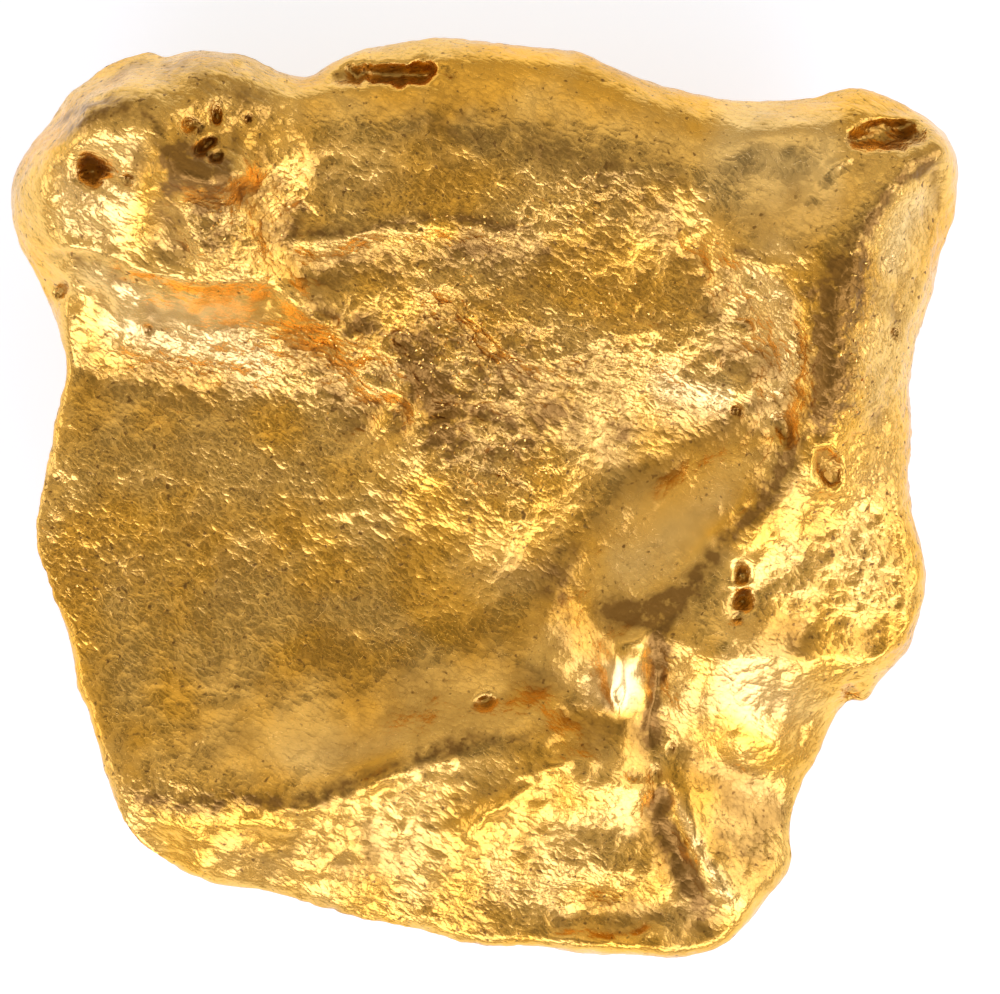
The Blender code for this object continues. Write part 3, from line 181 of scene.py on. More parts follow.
# Lines across the upper skin: x, y and the height there.
SURVEY = {
    'knob_ring': ((-11.2, 8.1, 7.1), (-10.6, 8.8, 7.7), (-9.8, 9.3, 8.2), (-8.9, 9.6, 8.55),
        (-8.2, 9.4, 8.75), (-7.8, 8.7, 8.85), (-7.3, 7.8, 8.9), (-6.5, 7.6, 8.75), (-5.7, 7.9, 8.35)),
    'knob_face': ((-10.6, 8, 7.45), (-9.6, 8.3, 8), (-8.6, 8.6, 8.35), (-8, 7.7, 8.4)),
    'knob_belly': ((-11.3, 7.1, 6.75), (-10.3, 7.2, 7.3), (-9.3, 7.2, 7.7), (-8.5, 6.9, 7.75)),
    'knob_front': ((-11.1, 6.5, 6.6), (-10.1, 6.4, 6.9), (-9.1, 6.3, 7.2), (-8.3, 5.9, 7.25),
        (-7.6, 5.7, 7.3)),
    'knob_lip': ((-11.4, 6.2, 6.35), (-10.6, 6.2, 6.75), (-9.6, 6.1, 7), (-9, 5.9, 7.05),
        (-8.6, 5.6, 7.05), (-7.9, 5.4, 7.1), (-7.1, 5.3, 7.15), (-6.3, 5.3, 7.2), (-5.6, 5.5, 7.25)),
    'knob_back': ((-9.7, 9.9, 7.6), (-8.8, 10.2, 7.8), (-8, 10.2, 8.05), (-7, 10, 8.2)),
    'knob_lobe': ((-10.6, 9.4, 6.7), (-10, 10, 6.8), (-9.2, 10.5, 6.7), (-8.3, 10.8, 6.5)),
    'knob_roof': ((-7.6, 10.9, 6.9), (-6.7, 10.8, 7.2), (-5.7, 10.5, 7.2), (-4.8, 10.1, 7.1),
        (-5.5, 9.7, 7.6), (-6.3, 9.5, 8), (-7.1, 9.2, 8.4)),
    'knob_eave': ((-5.5, 9.2, 7.7), (-5.5, 8.7, 7.8), (-6.1, 8.5, 8.3), (-6.7, 8.5, 8.55)),
    'knurl': ((-7, 7.2, 8), (-6.6, 6.7, 7.95), (-6.7, 6, 7.8), (-6.2, 5.9, 7.6), (-6, 7.1, 7.85)),
    'knurl_west': ((-7.6, 7.6, 8.35), (-7.3, 7.1, 8.15), (-7.2, 6.3, 7.85), (-7, 5.8, 7.55)),
    'knurl_foot': ((-8.1, 7.3, 8), (-7.9, 6.8, 7.65), (-7.7, 6.2, 7.4)),
    'knob_edge': ((-5.8, 7.5, 7.8), (-5.8, 6.8, 7.6), (-5.6, 6.3, 7.4), (-5.4, 5.9, 7.2)),
    'knob_gutter': ((-5.3, 8.3, 7.8), (-5.2, 7.6, 7.5), (-5.2, 6.8, 7.25), (-5.1, 6.2, 7.05)),
    'wall_top': ((-11.3, 6, 6.2), (-10.6, 6, 6.5), (-9.6, 5.9, 6.7), (-8.9, 5.7, 6.8), (-8, 5.2, 6.85),
        (-7, 5.1, 6.85), (-6, 5.1, 6.9), (-5.5, 5.2, 6.95)),
    'wall_foot': ((-10.6, 5.6, 6.2), (-9.6, 5.3, 6.2), (-8.9, 4.9, 6.15), (-8, 4.5, 6.05),
        (-7, 4.3, 6), (-6, 4.3, 5.95), (-5, 4.1, 5.85), (-4, 3.7, 5.7)),
    'wall_mid': ((-8.9, 5.3, 6.45), (-8, 4.8, 6.45), (-7, 4.7, 6.4), (-6, 4.7, 6.4), (-5.2, 4.7, 6.35)),
    'west_step': ((-10.8, 5.3, 5.6), (-10.1, 5.1, 5.8), (-9.5, 4.9, 5.8)),
    'west_slope': ((-10.6, 4.5, 5.4), (-9.8, 4.3, 5.45), (-9.2, 4.1, 5.4)),
    'slope_mid': ((-9, 3.9, 5.5), (-7.7, 3.6, 5.4), (-6.5, 3.5, 5.4), (-5.1, 3.4, 5.35),
        (-3.8, 3.2, 5.4), (-2.8, 3.1, 5.6)),
    'slope_toe': ((-10.3, 3.8, 5.1), (-9.5, 3.5, 5.05), (-8.3, 3.2, 5), (-7.1, 3, 5), (-5.8, 2.8, 5),
        (-4.3, 2.7, 5.05), (-3.1, 2.5, 5.15), (-2.2, 2, 5.25)),
    'spur': ((-5.2, 5.6, 7), (-4.8, 5.2, 6.85), (-4.3, 4.7, 6.6), (-3.8, 4.3, 6.4), (-3.2, 4, 6.25),
        (-2.6, 3.8, 6.1), (-2.1, 3.3, 5.95), (-1.8, 2.7, 5.8), (-1.7, 1.8, 5.6), (-1.6, 0.8, 5.4),
        (-1.7, 0, 5.2)),
    'spur_wall': ((-5.4, 5, 6.5), (-4.8, 4.4, 6.2), (-4.3, 4, 6.1), (-3.7, 3.6, 5.95),
        (-3.2, 3.2, 5.9), (-2.8, 2.7, 5.65), (-2.4, 2, 5.45)),
    'spur_east': ((-4.6, 5.3, 6.7), (-4, 5, 6.55), (-3.3, 4.6, 6.4), (-2.6, 4.3, 6.2), (-2, 3.7, 6),
        (-1.5, 3, 5.9), (-1.2, 2.2, 5.7), (-1.1, 1.4, 5.5)),
    'back_slope': ((-3.8, 10.3, 6.85), (-2.4, 10.2, 6.95), (-0.8, 10.5, 6.8), (0.9, 10.4, 6.75),
        (2.6, 10.2, 6.75), (4.2, 9.7, 6.85), (5.6, 9.2, 6.9)),
    'shelf_ridge': ((-4.6, 9.4, 7.3), (-3.4, 9.3, 7.25), (-1.8, 9.2, 7.2), (-0.1, 8.9, 7.2),
        (1.6, 8.5, 7.2), (3.1, 8.2, 7.2), (4.4, 8.1, 7.3), (5.4, 8.3, 7.35)),
    'shelf_mid': ((-4.1, 8.3, 7.2), (-2.8, 8.2, 7.1), (-1.4, 8.3, 7.1), (0.4, 8, 7.1), (1.9, 7.7, 7.1)),
    'shelf_low': ((-4.6, 7.1, 7), (-3.4, 7.2, 7.05), (-2.1, 7.3, 7.05), (-0.6, 7.4, 7.05),
        (1.1, 7.2, 7.05), (2.9, 7.1, 7), (3.9, 7.1, 7)),
    'shelf_pocket': ((-5, 8.3, 7.7), (-4.6, 7.5, 7.2), (-4.8, 6.8, 7)),
    'ledge_lip': ((-5, 6.3, 6.95), (-4.3, 6.3, 7), (-3.4, 6.4, 7), (-2.5, 6.6, 7), (-1.4, 6.8, 7),
        (-0.5, 6.7, 7), (0.6, 6.6, 7), (2.1, 6.5, 6.9), (3.6, 6.6, 6.9)),
    'ledge_foot': ((-4.6, 5.6, 6.55), (-3.5, 5.7, 6.5), (-2.2, 5.9, 6.55), (-1, 6.1, 6.65),
        (0.9, 5.9, 6.7), (2.6, 5.8, 6.7)),
    'mid_floor': ((-3.4, 5.2, 6.5), (-2.1, 5, 6.45), (-0.8, 5.3, 6.6), (0.9, 5.2, 6.6),
        (2.6, 5.1, 6.65), (4.2, 5.2, 6.6), (4.7, 4.8, 6.6)),
    'mid_lip': ((-0.6, 5, 6.55), (0.1, 4.5, 6.55), (0.9, 4, 6.5), (1.5, 3.5, 6.45), (2.3, 3.7, 6.5),
        (3, 3.9, 6.55), (4.2, 4.1, 6.6), (5.2, 4.1, 6.55)),
    'mid_lip_foot': ((-0.9, 4.5, 6.2), (-0.2, 3.7, 6.1), (0.6, 3.1, 6.05)),
    'mid_west': ((-1.4, 4.1, 6), (-0.7, 3.2, 5.95), (0.4, 2.7, 5.9), (1.4, 2.5, 5.9)),
    'slope_east': ((1.9, 2.8, 6.15), (3.1, 2.9, 6.2), (4.4, 2.9, 6.2), (5.5, 2.9, 6.25),
        (6.2, 2.8, 6.3)),
    'east_toe': ((1.9, 1.7, 5.6), (3.1, 1.7, 5.6), (4.5, 1.5, 5.55), (5.7, 1.3, 5.85),
        (6.4, 1.6, 6.15)),
    'low_floor': ((-0.8, 2.3, 5.85), (0.4, 2.4, 5.85), (0.9, 1.6, 5.5), (-0.3, 1.6, 5.5)),
    'patch_toe': ((-0.5, -0.4, 5.25), (0.6, -0.5, 5.25), (1.9, 0, 5.3)),
    'hollow_a': ((-9.8, 2, 5), (-8.1, 1.7, 4.95), (-6.1, 1.5, 4.9), (-4.1, 1.2, 4.95)),
    'hollow_b': ((-10.3, -0.5, 4.9), (-8.3, -0.5, 4.85), (-6.1, -0.8, 4.8), (-3.8, -0.8, 4.85),
        (-1.6, -1.1, 5)),
    'hollow_c': ((-9.8, -3, 4.85), (-7.6, -3, 4.7), (-5.1, -3, 4.65), (-2.6, -3, 4.7),
        (-0.3, -2.5, 4.8)),
    'hollow_d': ((-9.3, -5, 4.9), (-7.1, -5, 4.85), (-4.6, -5, 4.85), (-2.1, -4.8, 4.9),
        (0.1, -4.4, 4.95)),
    'hollow_e': ((-9.2, -6.2, 5), (-7.3, -6.2, 5.1), (-5.6, -6.3, 5.2), (-3.8, -6.1, 5.25),
        (-2.1, -5.6, 5.3), (-0.3, -5.2, 5.35), (1.4, -5, 5.35)),
    'valley': ((4.7, 0.9, 5.5), (3.9, 0.5, 5.3), (3, -0.3, 5.15), (2.4, -1.1, 5), (1.9, -2.3, 4.9),
        (1.5, -3.5, 4.85), (1.4, -4.8, 5)),
    'pocket_rim': ((6, 6.2, 7.3), (6.6, 5.9, 7.5), (7.3, 5.5, 7.6), (7.8, 4.9, 7.7), (7.8, 4, 7.6),
        (7.8, 2.8, 7.3), (7.7, 1.7, 7.1)),
    'pocket_scree': ((6.4, 5.5, 7.15), (6.8, 5, 7.25), (7.1, 4.3, 7.3), (7.1, 4, 7.15)),
    'pocket_west': ((5.2, 6.3, 6.8), (5.4, 5.5, 6.6), (5.5, 4.5, 6.6), (5.4, 3.9, 6.5)),
    'pocket_knobs': ((6, 5.6, 6.9), (6.2, 5, 6.8), (6.1, 4.3, 6.7)),
    'pocket_wall': ((6.3, 3.8, 6.5), (6.9, 3.7, 6.75), (7.3, 3.6, 7.15)),
    'pocket_floor': ((6.1, 3.3, 6.2), (6.7, 3.1, 6.35), (7.3, 2.9, 6.85), (6.8, 2.5, 6.35),
        (6.3, 2.1, 6.05)),
    'pocket_end': ((7.6, 2.4, 6.9), (7.2, 1.8, 6.65), (6.8, 1.3, 6.4)),
    'ridge': ((11.6, 8.7, 7.2), (10.7, 8.1, 7.6), (9.9, 7.4, 7.9), (9.4, 6.7, 8), (9.1, 5.8, 8.05),
        (8.8, 5, 8.1), (8.6, 3.8, 8), (8.4, 2.6, 7.8), (8.2, 1.7, 7.4), (7.8, 0.9, 7.1), (7.1, 0, 6.8),
        (6.4, -0.8, 6.6), (5.7, -1.7, 6.35), (5, -2.7, 6.2), (3.9, -3.1, 6), (2.9, -3.1, 5.75)),
    'crown': ((6.3, 7.3, 7.45), (6.9, 6.8, 7.65), (7.6, 6.2, 7.95), (8.3, 6.6, 8), (8.8, 6.1, 8.05),
        (8.3, 5.3, 8.05)),
    'slab': ((6.4, 9, 7.2), (7.6, 9.3, 7.15), (8.9, 9.3, 7.15), (9.9, 8.3, 7.5), (8.8, 7.7, 7.7),
        (7.6, 7.8, 7.55), (6.5, 8.2, 7.35)),
    'slab_back': ((6.9, 9.7, 6.5), (8.2, 9.8, 6.5), (9.4, 9.9, 6.5), (10.5, 9.4, 6.5)),
    'flank_a': ((11.1, 8, 6.95), (10.5, 7.2, 7.2), (10, 6.3, 7.4), (9.7, 5.3, 7.5), (9.4, 4.2, 7.55),
        (9.3, 3, 7.4), (9.1, 1.7, 7.1), (8.6, 0.7, 6.9), (7.9, -0.1, 6.6), (7.3, -1, 6.35),
        (6.7, -2.1, 6.2), (6.3, -3, 6.2)),
    'flank_b': ((11.4, 7.1, 6.1), (10.9, 6.1, 6.3), (10.5, 5, 6.5), (10.2, 3.8, 6.6), (10, 2.5, 6.45),
        (9.8, 1.1, 6.2), (9.4, -0.3, 6), (9, -1.5, 5.8), (8.4, -2.5, 5.7), (7.9, -3.5, 5.65)),
    'flank_c': ((10.6, 0.5, 5.5), (10.5, -0.8, 5.45), (10.4, -2, 5.3), (9.9, -3.3, 5.2),
        (9.3, -4.2, 5.2)),
    'hook': ((9.9, -3.9, 5.2), (9.6, -4.5, 4.8), (9.2, -4.8, 4.5)),
    'tongue': ((6.4, 0.6, 6.35), (5.6, 0, 6.1), (4.8, -0.6, 5.9), (4, -1.5, 5.7), (3.1, -2.1, 5.45)),
    'tongue_hi': ((6.8, 0.3, 6.55), (6, -0.4, 6.3), (5.2, -1.2, 6.1), (4.5, -2.1, 5.9),
        (3.5, -2.6, 5.65)),
    'tongue_foot': ((6.1, 0.9, 6.2), (5.2, 0.5, 5.95), (4.3, -0.1, 5.75), (3.5, -0.9, 5.5),
        (2.8, -1.6, 5.3)),
    'tongue_end': ((2.6, -2.8, 5.6), (2.4, -3.5, 5.4), (2.2, -4.5, 5.25), (2.1, -5.5, 5.3)),
    'rib_a': ((3.5, -3.5, 6.2), (3.5, -4.1, 6), (3.4, -4.8, 5.7), (3.4, -5.6, 5.5), (3, -6.5, 5.6)),
    'rib_a_west': ((2.9, -3.8, 5.8), (2.8, -4.8, 5.45), (2.6, -5.8, 5.4)),
    'groove_a': ((4.3, -3.5, 6.25), (4.3, -4.5, 5.65), (4.2, -5.6, 5.3), (4.2, -6.6, 5.2),
        (4.4, -7.5, 5)),
    'bulge_top': ((5, -3.5, 6.35), (5.5, -3.3, 6.45), (6.4, -3.5, 6.45), (7.4, -3.9, 6.1),
        (8.3, -4, 5.65)),
    'bulge': ((5.2, -4.6, 6.1), (6, -4.7, 6), (7, -5, 5.5), (7.9, -5.2, 4.95)),
    'bulge_mid': ((5.2, -5.6, 5.6), (6.2, -6, 5.4), (7.2, -6.3, 4.85), (7.9, -6.5, 4.4)),
    'bulge_low': ((5.2, -6.8, 5.15), (6, -7.2, 4.75), (6.8, -7.5, 4.4), (7.5, -7.8, 4.1)),
    'rib_c': ((4.6, -7, 5.3), (4.8, -7.6, 5.25), (5.2, -8.5, 5.15), (5.7, -9.3, 5), (6.2, -10.2, 4.8)),
    'groove_b': ((4.5, -8, 5), (4.9, -8.9, 4.8), (5.3, -9.8, 4.7), (5.5, -10.6, 4.5)),
    'scoop': ((6, -8.2, 4.75), (6.6, -8.7, 4.55), (7.3, -9.1, 4.35)),
    'south_crest': ((-9.3, -7, 4.95), (-8.3, -7.5, 5.15), (-7.1, -7.8, 5.3), (-5.8, -7.6, 5.45),
        (-4.6, -7.7, 5.55), (-3.7, -7.4, 5.6), (-3, -7.1, 5.65), (-2, -6.6, 5.75), (-0.8, -6.3, 5.85),
        (0.4, -6.1, 5.9), (1.6, -6, 5.95)),
    'south_brow': ((-7.6, -8.2, 5.05), (-5.6, -8.2, 5.15), (-3.8, -8.1, 5.3), (-2.1, -7.5, 5.5),
        (-0.8, -7.2, 5.65)),
    'south_flank': ((-8.3, -8.5, 4.5), (-6.8, -8.9, 4.6), (-5.1, -9.2, 4.55), (-3.6, -9.5, 4.55),
        (-2.1, -9.8, 4.5)),
    'wye': ((3.1, -6.7, 5.7), (2.1, -6.6, 5.85), (1.4, -6.8, 5.85), (0.6, -7.4, 5.75),
        (-0.1, -8.1, 5.55), (-0.7, -8.8, 5.25)),
    'wye_north': ((0.4, -6.7, 5.8), (-0.3, -7.3, 5.65), (-1.1, -7.9, 5.4)),
    'dish': ((0.9, -8.3, 5.35), (2.1, -8, 5.4), (3.4, -7.9, 5.45), (4, -7.3, 5.5)),
    'dish_low': ((-0.1, -9.5, 4.95), (1.4, -9.6, 4.95), (2.9, -9.5, 5), (4.2, -9.3, 5.1)),
    'dish_toe': ((1.9, -10.6, 4.55), (3.1, -10.7, 4.5), (4.2, -10.5, 4.65)),
    'south_hem': ((1.9, -10.9, 4.65), (3.1, -11, 4.65), (4.4, -10.8, 4.75)),
}

# Creases: height (negative if cut), width to the left and to the right of its run, and its line.
CREASES = {
    'spur_crest': (0.12, 0.2, 0.2, ((-5.35, 5.8), (-4.95, 5.3), (-4.45, 4.8), (-3.9, 4.4),
        (-3.35, 4.1), (-2.7, 3.9), (-2.2, 3.4), (-1.9, 2.75), (-1.7, 2), (-1.65, 1))),
    'lip_crest': (0.08, 0.2, 0.1, ((-11.4, 6.25), (-10.55, 6.2), (-9.6, 6.1), (-9.05, 5.9),
        (-8.55, 5.6), (-7.9, 5.4), (-7.1, 5.3), (-6.2, 5.3), (-5.55, 5.5))),
    'ledge_crest': (0.07, 0.2, 0.2, ((-5.1, 6.3), (-4.35, 6.3), (-3.35, 6.4), (-2.5, 6.55),
        (-1.35, 6.7), (-0.45, 6.7), (0.65, 6.5), (1.9, 6.5))),
    'ledge_cut': (-0.05, 0.15, 0.15, ((-5.4, 6.1), (-4.6, 5.9), (-3.35, 5.95), (-2.5, 6.15),
        (-1.35, 6.4), (-0.35, 6.3), (0.9, 6.15))),
    'slash_a': (0.14, 0.15, 0.2, ((-0.7, 5.1), (-0.35, 4.65), (0.15, 4.15), (0.7, 3.65), (1.5, 3.15))),
    'slash_b': (-0.05, 0.15, 0.15, ((-0.15, 4.95), (0.5, 4.6), (1, 4.15), (1.5, 3.65))),
    'slash_c': (0.1, 0.1, 0.15, ((-1.5, 5.9), (-1.25, 5.4), (-1.1, 4.9))),
    'mid_crest': (0.06, 0.2, 0.2, ((1.4, 3.3), (2.2, 3.65), (3, 3.95), (3.9, 4.1), (4.8, 4.05),
        (5.5, 4.15))),
    'step_cut': (-0.12, 0.15, 0.2, ((-1.4, 2.15), (-0.6, 2.2), (0.4, 2.1), (0.85, 1.7))),
    'chain_cut': (-0.1, 0.2, 0.2, ((-2.5, 4.3), (-1.9, 3.7), (-1.5, 3.1), (-1.25, 2.4), (-0.95, 1.5))),
    'pocket_crest': (0.04, 0.2, 0.2, ((5.95, 6.2), (6.65, 5.95), (7.35, 5.55), (7.8, 4.9), (8, 3.85),
        (7.9, 2.6))),
    'pocket_slit': (-0.07, 0.1, 0.1, ((7.75, 4.1), (7.8, 3.5), (7.75, 2.65))),
    'valley_edge': (-0.05, 0.25, 0.25, ((5.15, 6.5), (5.4, 5.9), (5.5, 4.95), (5.45, 4))),
    'slab_fold': (0.1, 0.2, 0.25, ((7.9, 7.2), (8.05, 7.6), (8.35, 7.9), (8.85, 8.2), (9.3, 8.4))),
    'groove_a_cut': (-0.12, 0.2, 0.2, ((4.3, -3.15), (4.3, -4.3), (4.2, -5.3), (4.15, -6.3))),
    'rib_c_top': (0.13, 0.3, 0.3, ((4.5, -6.9), (4.7, -7.5), (5.15, -8.3), (5.6, -9.05),
        (6.05, -9.8), (6.45, -10.45))),
    'rib_a_slit': (-0.1, 0.1, 0.1, ((3.25, -5), (3.4, -4.8), (3.6, -4.5))),
    'knot_cut': (-0.14, 0.1, 0.1, ((3.45, -6.8), (3.9, -6.95), (4.45, -6.9))),
    'south_line': (0.1, 0.2, 0.2, ((-6.2, -7.7), (-5.35, -7.7), (-4.45, -7.7), (-3.7, -7.4),
        (-3, -7.2), (-2, -6.7), (-0.85, -6.4))),
    'wye_crest': (0.16, 0.2, 0.2, ((3.05, -6.5), (2.15, -6.6), (1.45, -6.8), (0.7, -7.4), (0, -7.95),
        (-0.7, -8.8))),
    'hem_cut': (-0.05, 0.1, 0.15, ((1.6, -10.65), (2.4, -10.8), (3.4, -10.8), (4.15, -10.5))),
    'hem_crest': (0.1, 0.15, 0.15, ((1.5, -10.95), (2.65, -11.05), (3.8, -10.9), (4.5, -10.7))),
    'knurl_crest': (0.1, 0.2, 0.15, ((-5.9, 7.3), (-5.8, 6.9), (-5.75, 6.45), (-5.55, 5.9))),
    'knob_gutter_cut': (-0.05, 0.1, 0.1, ((-5.6, 8.45), (-5.5, 7.7), (-5.5, 6.95), (-5.4, 6.3))),
    'lobe_edge': (-0.1, 0.15, 0.15, ((-10.9, 9.2), (-10.1, 9.7), (-9.35, 9.9), (-8.7, 10))),
}

# Pits: x, y, half length, half width, turn in degrees, depth (negative for a lump) and lip height.
PITS = (
    (-9.7, 8.05, 0.3, 0.3, 0, 0.8, 0.08),
    (-9.3, 8.1, 0.3, 0.18, -20, 0.25, 0),
    (-8.8, 7.9, 0.1, 0.1, 0, 0.35, 0),
    (-6.6, 9.45, 0.12, 0.23, 10, 0.4, 0.02),
    (-7.2, 9.2, 0.2, 0.12, 30, 0.3, 0.03),
    (-6.95, 9.1, 0.1, 0.12, 0, 0.25, 0),
    (-6.8, 8.7, 0.33, 0.12, 35, 0.45, 0.04),
    (-6.55, 8.45, 0.15, 0.1, 10, 0.35, 0),
    (-5.8, 9.3, 0.1, 0.1, 0, 0.3, 0),
    (-6.15, 10.55, 0.15, 0.23, -30, 0.2, 0.02),
    (-2.25, 10.55, 1.05, 0.23, -4, 0.8, 0.05),
    (-1.5, 10.7, 0.35, 0.2, -12, 0.5, 0),
    (-3.35, 10.4, 0.4, 0.15, -12, 0.4, 0),
    (10, 8.95, 0.85, 0.38, -3, 0.6, 0.06),
    (10.5, 9.1, 0.33, 0.25, 0, 0.3, 0),
    (9.45, 8.8, 0.3, 0.18, 0, 0.3, 0),
    (6.4, -1.9, 0.12, 0.2, 15, 0.45, 0),
    (6.5, -2.55, 0.18, 0.2, 10, 0.6, 0),
    (6.4, -2.2, 0.15, 0.12, 0, -0.15, 0),
    (6.35, -2.95, 0.1, 0.1, 0, 0.3, 0),
    (8.55, 0.8, 0.33, 0.45, 10, 0.25, 0.12),
    (9.15, -4.9, 0.18, 0.2, 0, 0.5, 0.03),
    (0.05, -5.1, 0.23, 0.1, 20, 0.3, 0),
    (6.3, 2.2, 0.1, 0.1, 0, 0.3, 0),
    (7.5, 1.75, 0.2, 0.33, 15, 0.35, 0),
    (6.45, 4.3, 0.23, 0.08, -20, 0.2, 0),
    (6.35, 5.15, 0.28, 0.23, 0, -0.15, 0),
    (6.05, 4.8, 0.23, 0.23, 0, -0.1, 0),
    (5.8, 5.4, 0.2, 0.18, 0, -0.1, 0),
    (5.05, 6.45, 0.25, 0.2, 0, -0.1, 0),
    (5.7, 3.4, 0.23, 0.23, 0, -0.1, 0),
    (7.05, 2.75, 0.33, 0.23, 0, -0.1, 0),
    (6.8, 2, 0.25, 0.23, 0, -0.1, 0),
    (6.4, -0.25, 0.1, 0.08, 0, 0.1, 0),
    (6.8, -0.25, 0.08, 0.08, 0, 0.1, 0),
    (3.15, -9.5, 0.45, 0.5, 0, -0.15, 0),
    (3.5, -4.45, 0.55, 0.85, 0, -0.2, 0),
    (-5.35, -8.1, 0.6, 0.2, -6, -0.15, 0),
    (-0.9, -6.6, 0.23, 0.15, 0, -0.15, 0),
    (-1.85, -6.8, 0.23, 0.15, 0, -0.1, 0),
    (-1.6, -10.5, 0.4, 0.23, 0, -0.15, 0),
    (-1.2, -9.2, 0.3, 0.23, 0, -0.1, 0),
    (-3.5, -8.8, 0.35, 0.25, 0, -0.1, 0),
    (-2.1, -8.4, 0.35, 0.25, 0, -0.1, 0),
    (4.7, -6.3, 0.12, 0.12, 0, 0.2, 0.02),
    (-8.35, 4.15, 0.08, 0.08, 0, 0.2, 0),
    (-10.55, 5.15, 0.23, 0.1, 60, 0.35, 0.02),
    (-7.1, -6.15, 0.1, 0.15, -20, -0.1, 0),
    (10.2, 4.15, 0.08, 0.15, 10, 0.2, 0),
    (7.65, -0.8, 0.35, 0.65, -20, -0.1, 0),
    (7, -1.5, 0.3, 0.5, -20, -0.1, 0),
)

# Zones of the skin: x, y, half length, half width, turn in degrees, and how much crystalline
# skin and how much lumpiness it adds.
ZONES = (
    (-6.3, -0.5, 5, 4.2, 0, 0.15, -0.4),
    (-9.8, -1.5, 1.5, 2, 0, 0.2, -0.1),
    (-0.8, -3.8, 2.8, 2, -20, -0.1, -0.2),
    (-4.1, -6, 3.5, 0.9, -3, -0.2, -0.2),
    (-1.4, 4.2, 4.8, 3, 10, 0.4, 0.2),
    (-6.3, 3.4, 3.2, 0.8, 8, 0.1, 0.25),
    (-6.5, 4.7, 3, 0.4, 5, -0.5, -0.5),
    (0.6, 0.6, 1.6, 1, 0, 0.6, 0.35),
    (-0.3, 3.5, 1.5, 1.5, 40, 0.25, 0.2),
    (1.9, 7.1, 3.8, 1.1, 0, 0.25, 0),
    (-4.8, 7.5, 0.7, 1, 0, 0.35, 0.2),
    (-8.3, 8.5, 2.8, 1.8, 0, 0.05, 0.3),
    (-6.5, 6.5, 1, 1.1, 0, 0.45, 0.4),
    (-6.3, 9.5, 1.5, 1, 0, 0.3, 0.35),
    (-0.8, 10.2, 4.2, 0.8, 0, 0, 0),
    (-2.1, -10.4, 7, 0.8, 12, 0.3, 0.25),
    (-10.7, -1.5, 0.6, 4.8, 0, 0.2, 0.25),
    (10.5, 0.5, 0.6, 5, 0, 0.2, 0.25),
    (3.9, 4, 2.2, 1.8, 0, 0.25, 0.1),
    (6.4, 4, 1.4, 2.5, 0, 0.15, 0.3),
    (5.4, -1, 2.5, 0.6, -38, -0.4, -0.55),
    (7.3, -2.3, 1.5, 1.1, -30, 0.25, 0.25),
    (6.3, -5.2, 1.9, 2.2, 0, -0.1, -0.45),
    (3.4, -4.6, 0.7, 1.5, 0, -0.3, -0.4),
    (7.4, 7.7, 2, 1.5, 0, -0.2, -0.3),
    (9.4, 2.5, 1, 5.5, 0, 0.2, 0.3),
    (9.2, 4.5, 0.5, 3, -5, 0.35, 0.7),
    (7.9, 4.2, 0.4, 2, 0, 0.3, 0.5),
    (10.5, 7.7, 0.6, 1.2, 20, 0.25, 0.4),
    (2.9, 7.6, 1.5, 0.4, 5, 0.3, 0.3),
    (7.9, 1.5, 0.8, 1, -30, 0.1, 0.4),
    (-7.8, -7.4, 2, 0.8, 0, 0.35, 0.3),
    (-3.1, -8.6, 4.2, 1.1, 0, -0.05, 0.55),
    (2.6, -6.2, 1.2, 1.1, 0, 0.1, -0.05),
    (1.9, -9, 2.2, 1.2, 0, 0, 0.2),
    (10, 9, 1.5, 0.7, 0, 0.1, 0.15),
    (-2.6, -2.5, 1.5, 1.2, 0, 0.05, -0.1),
)
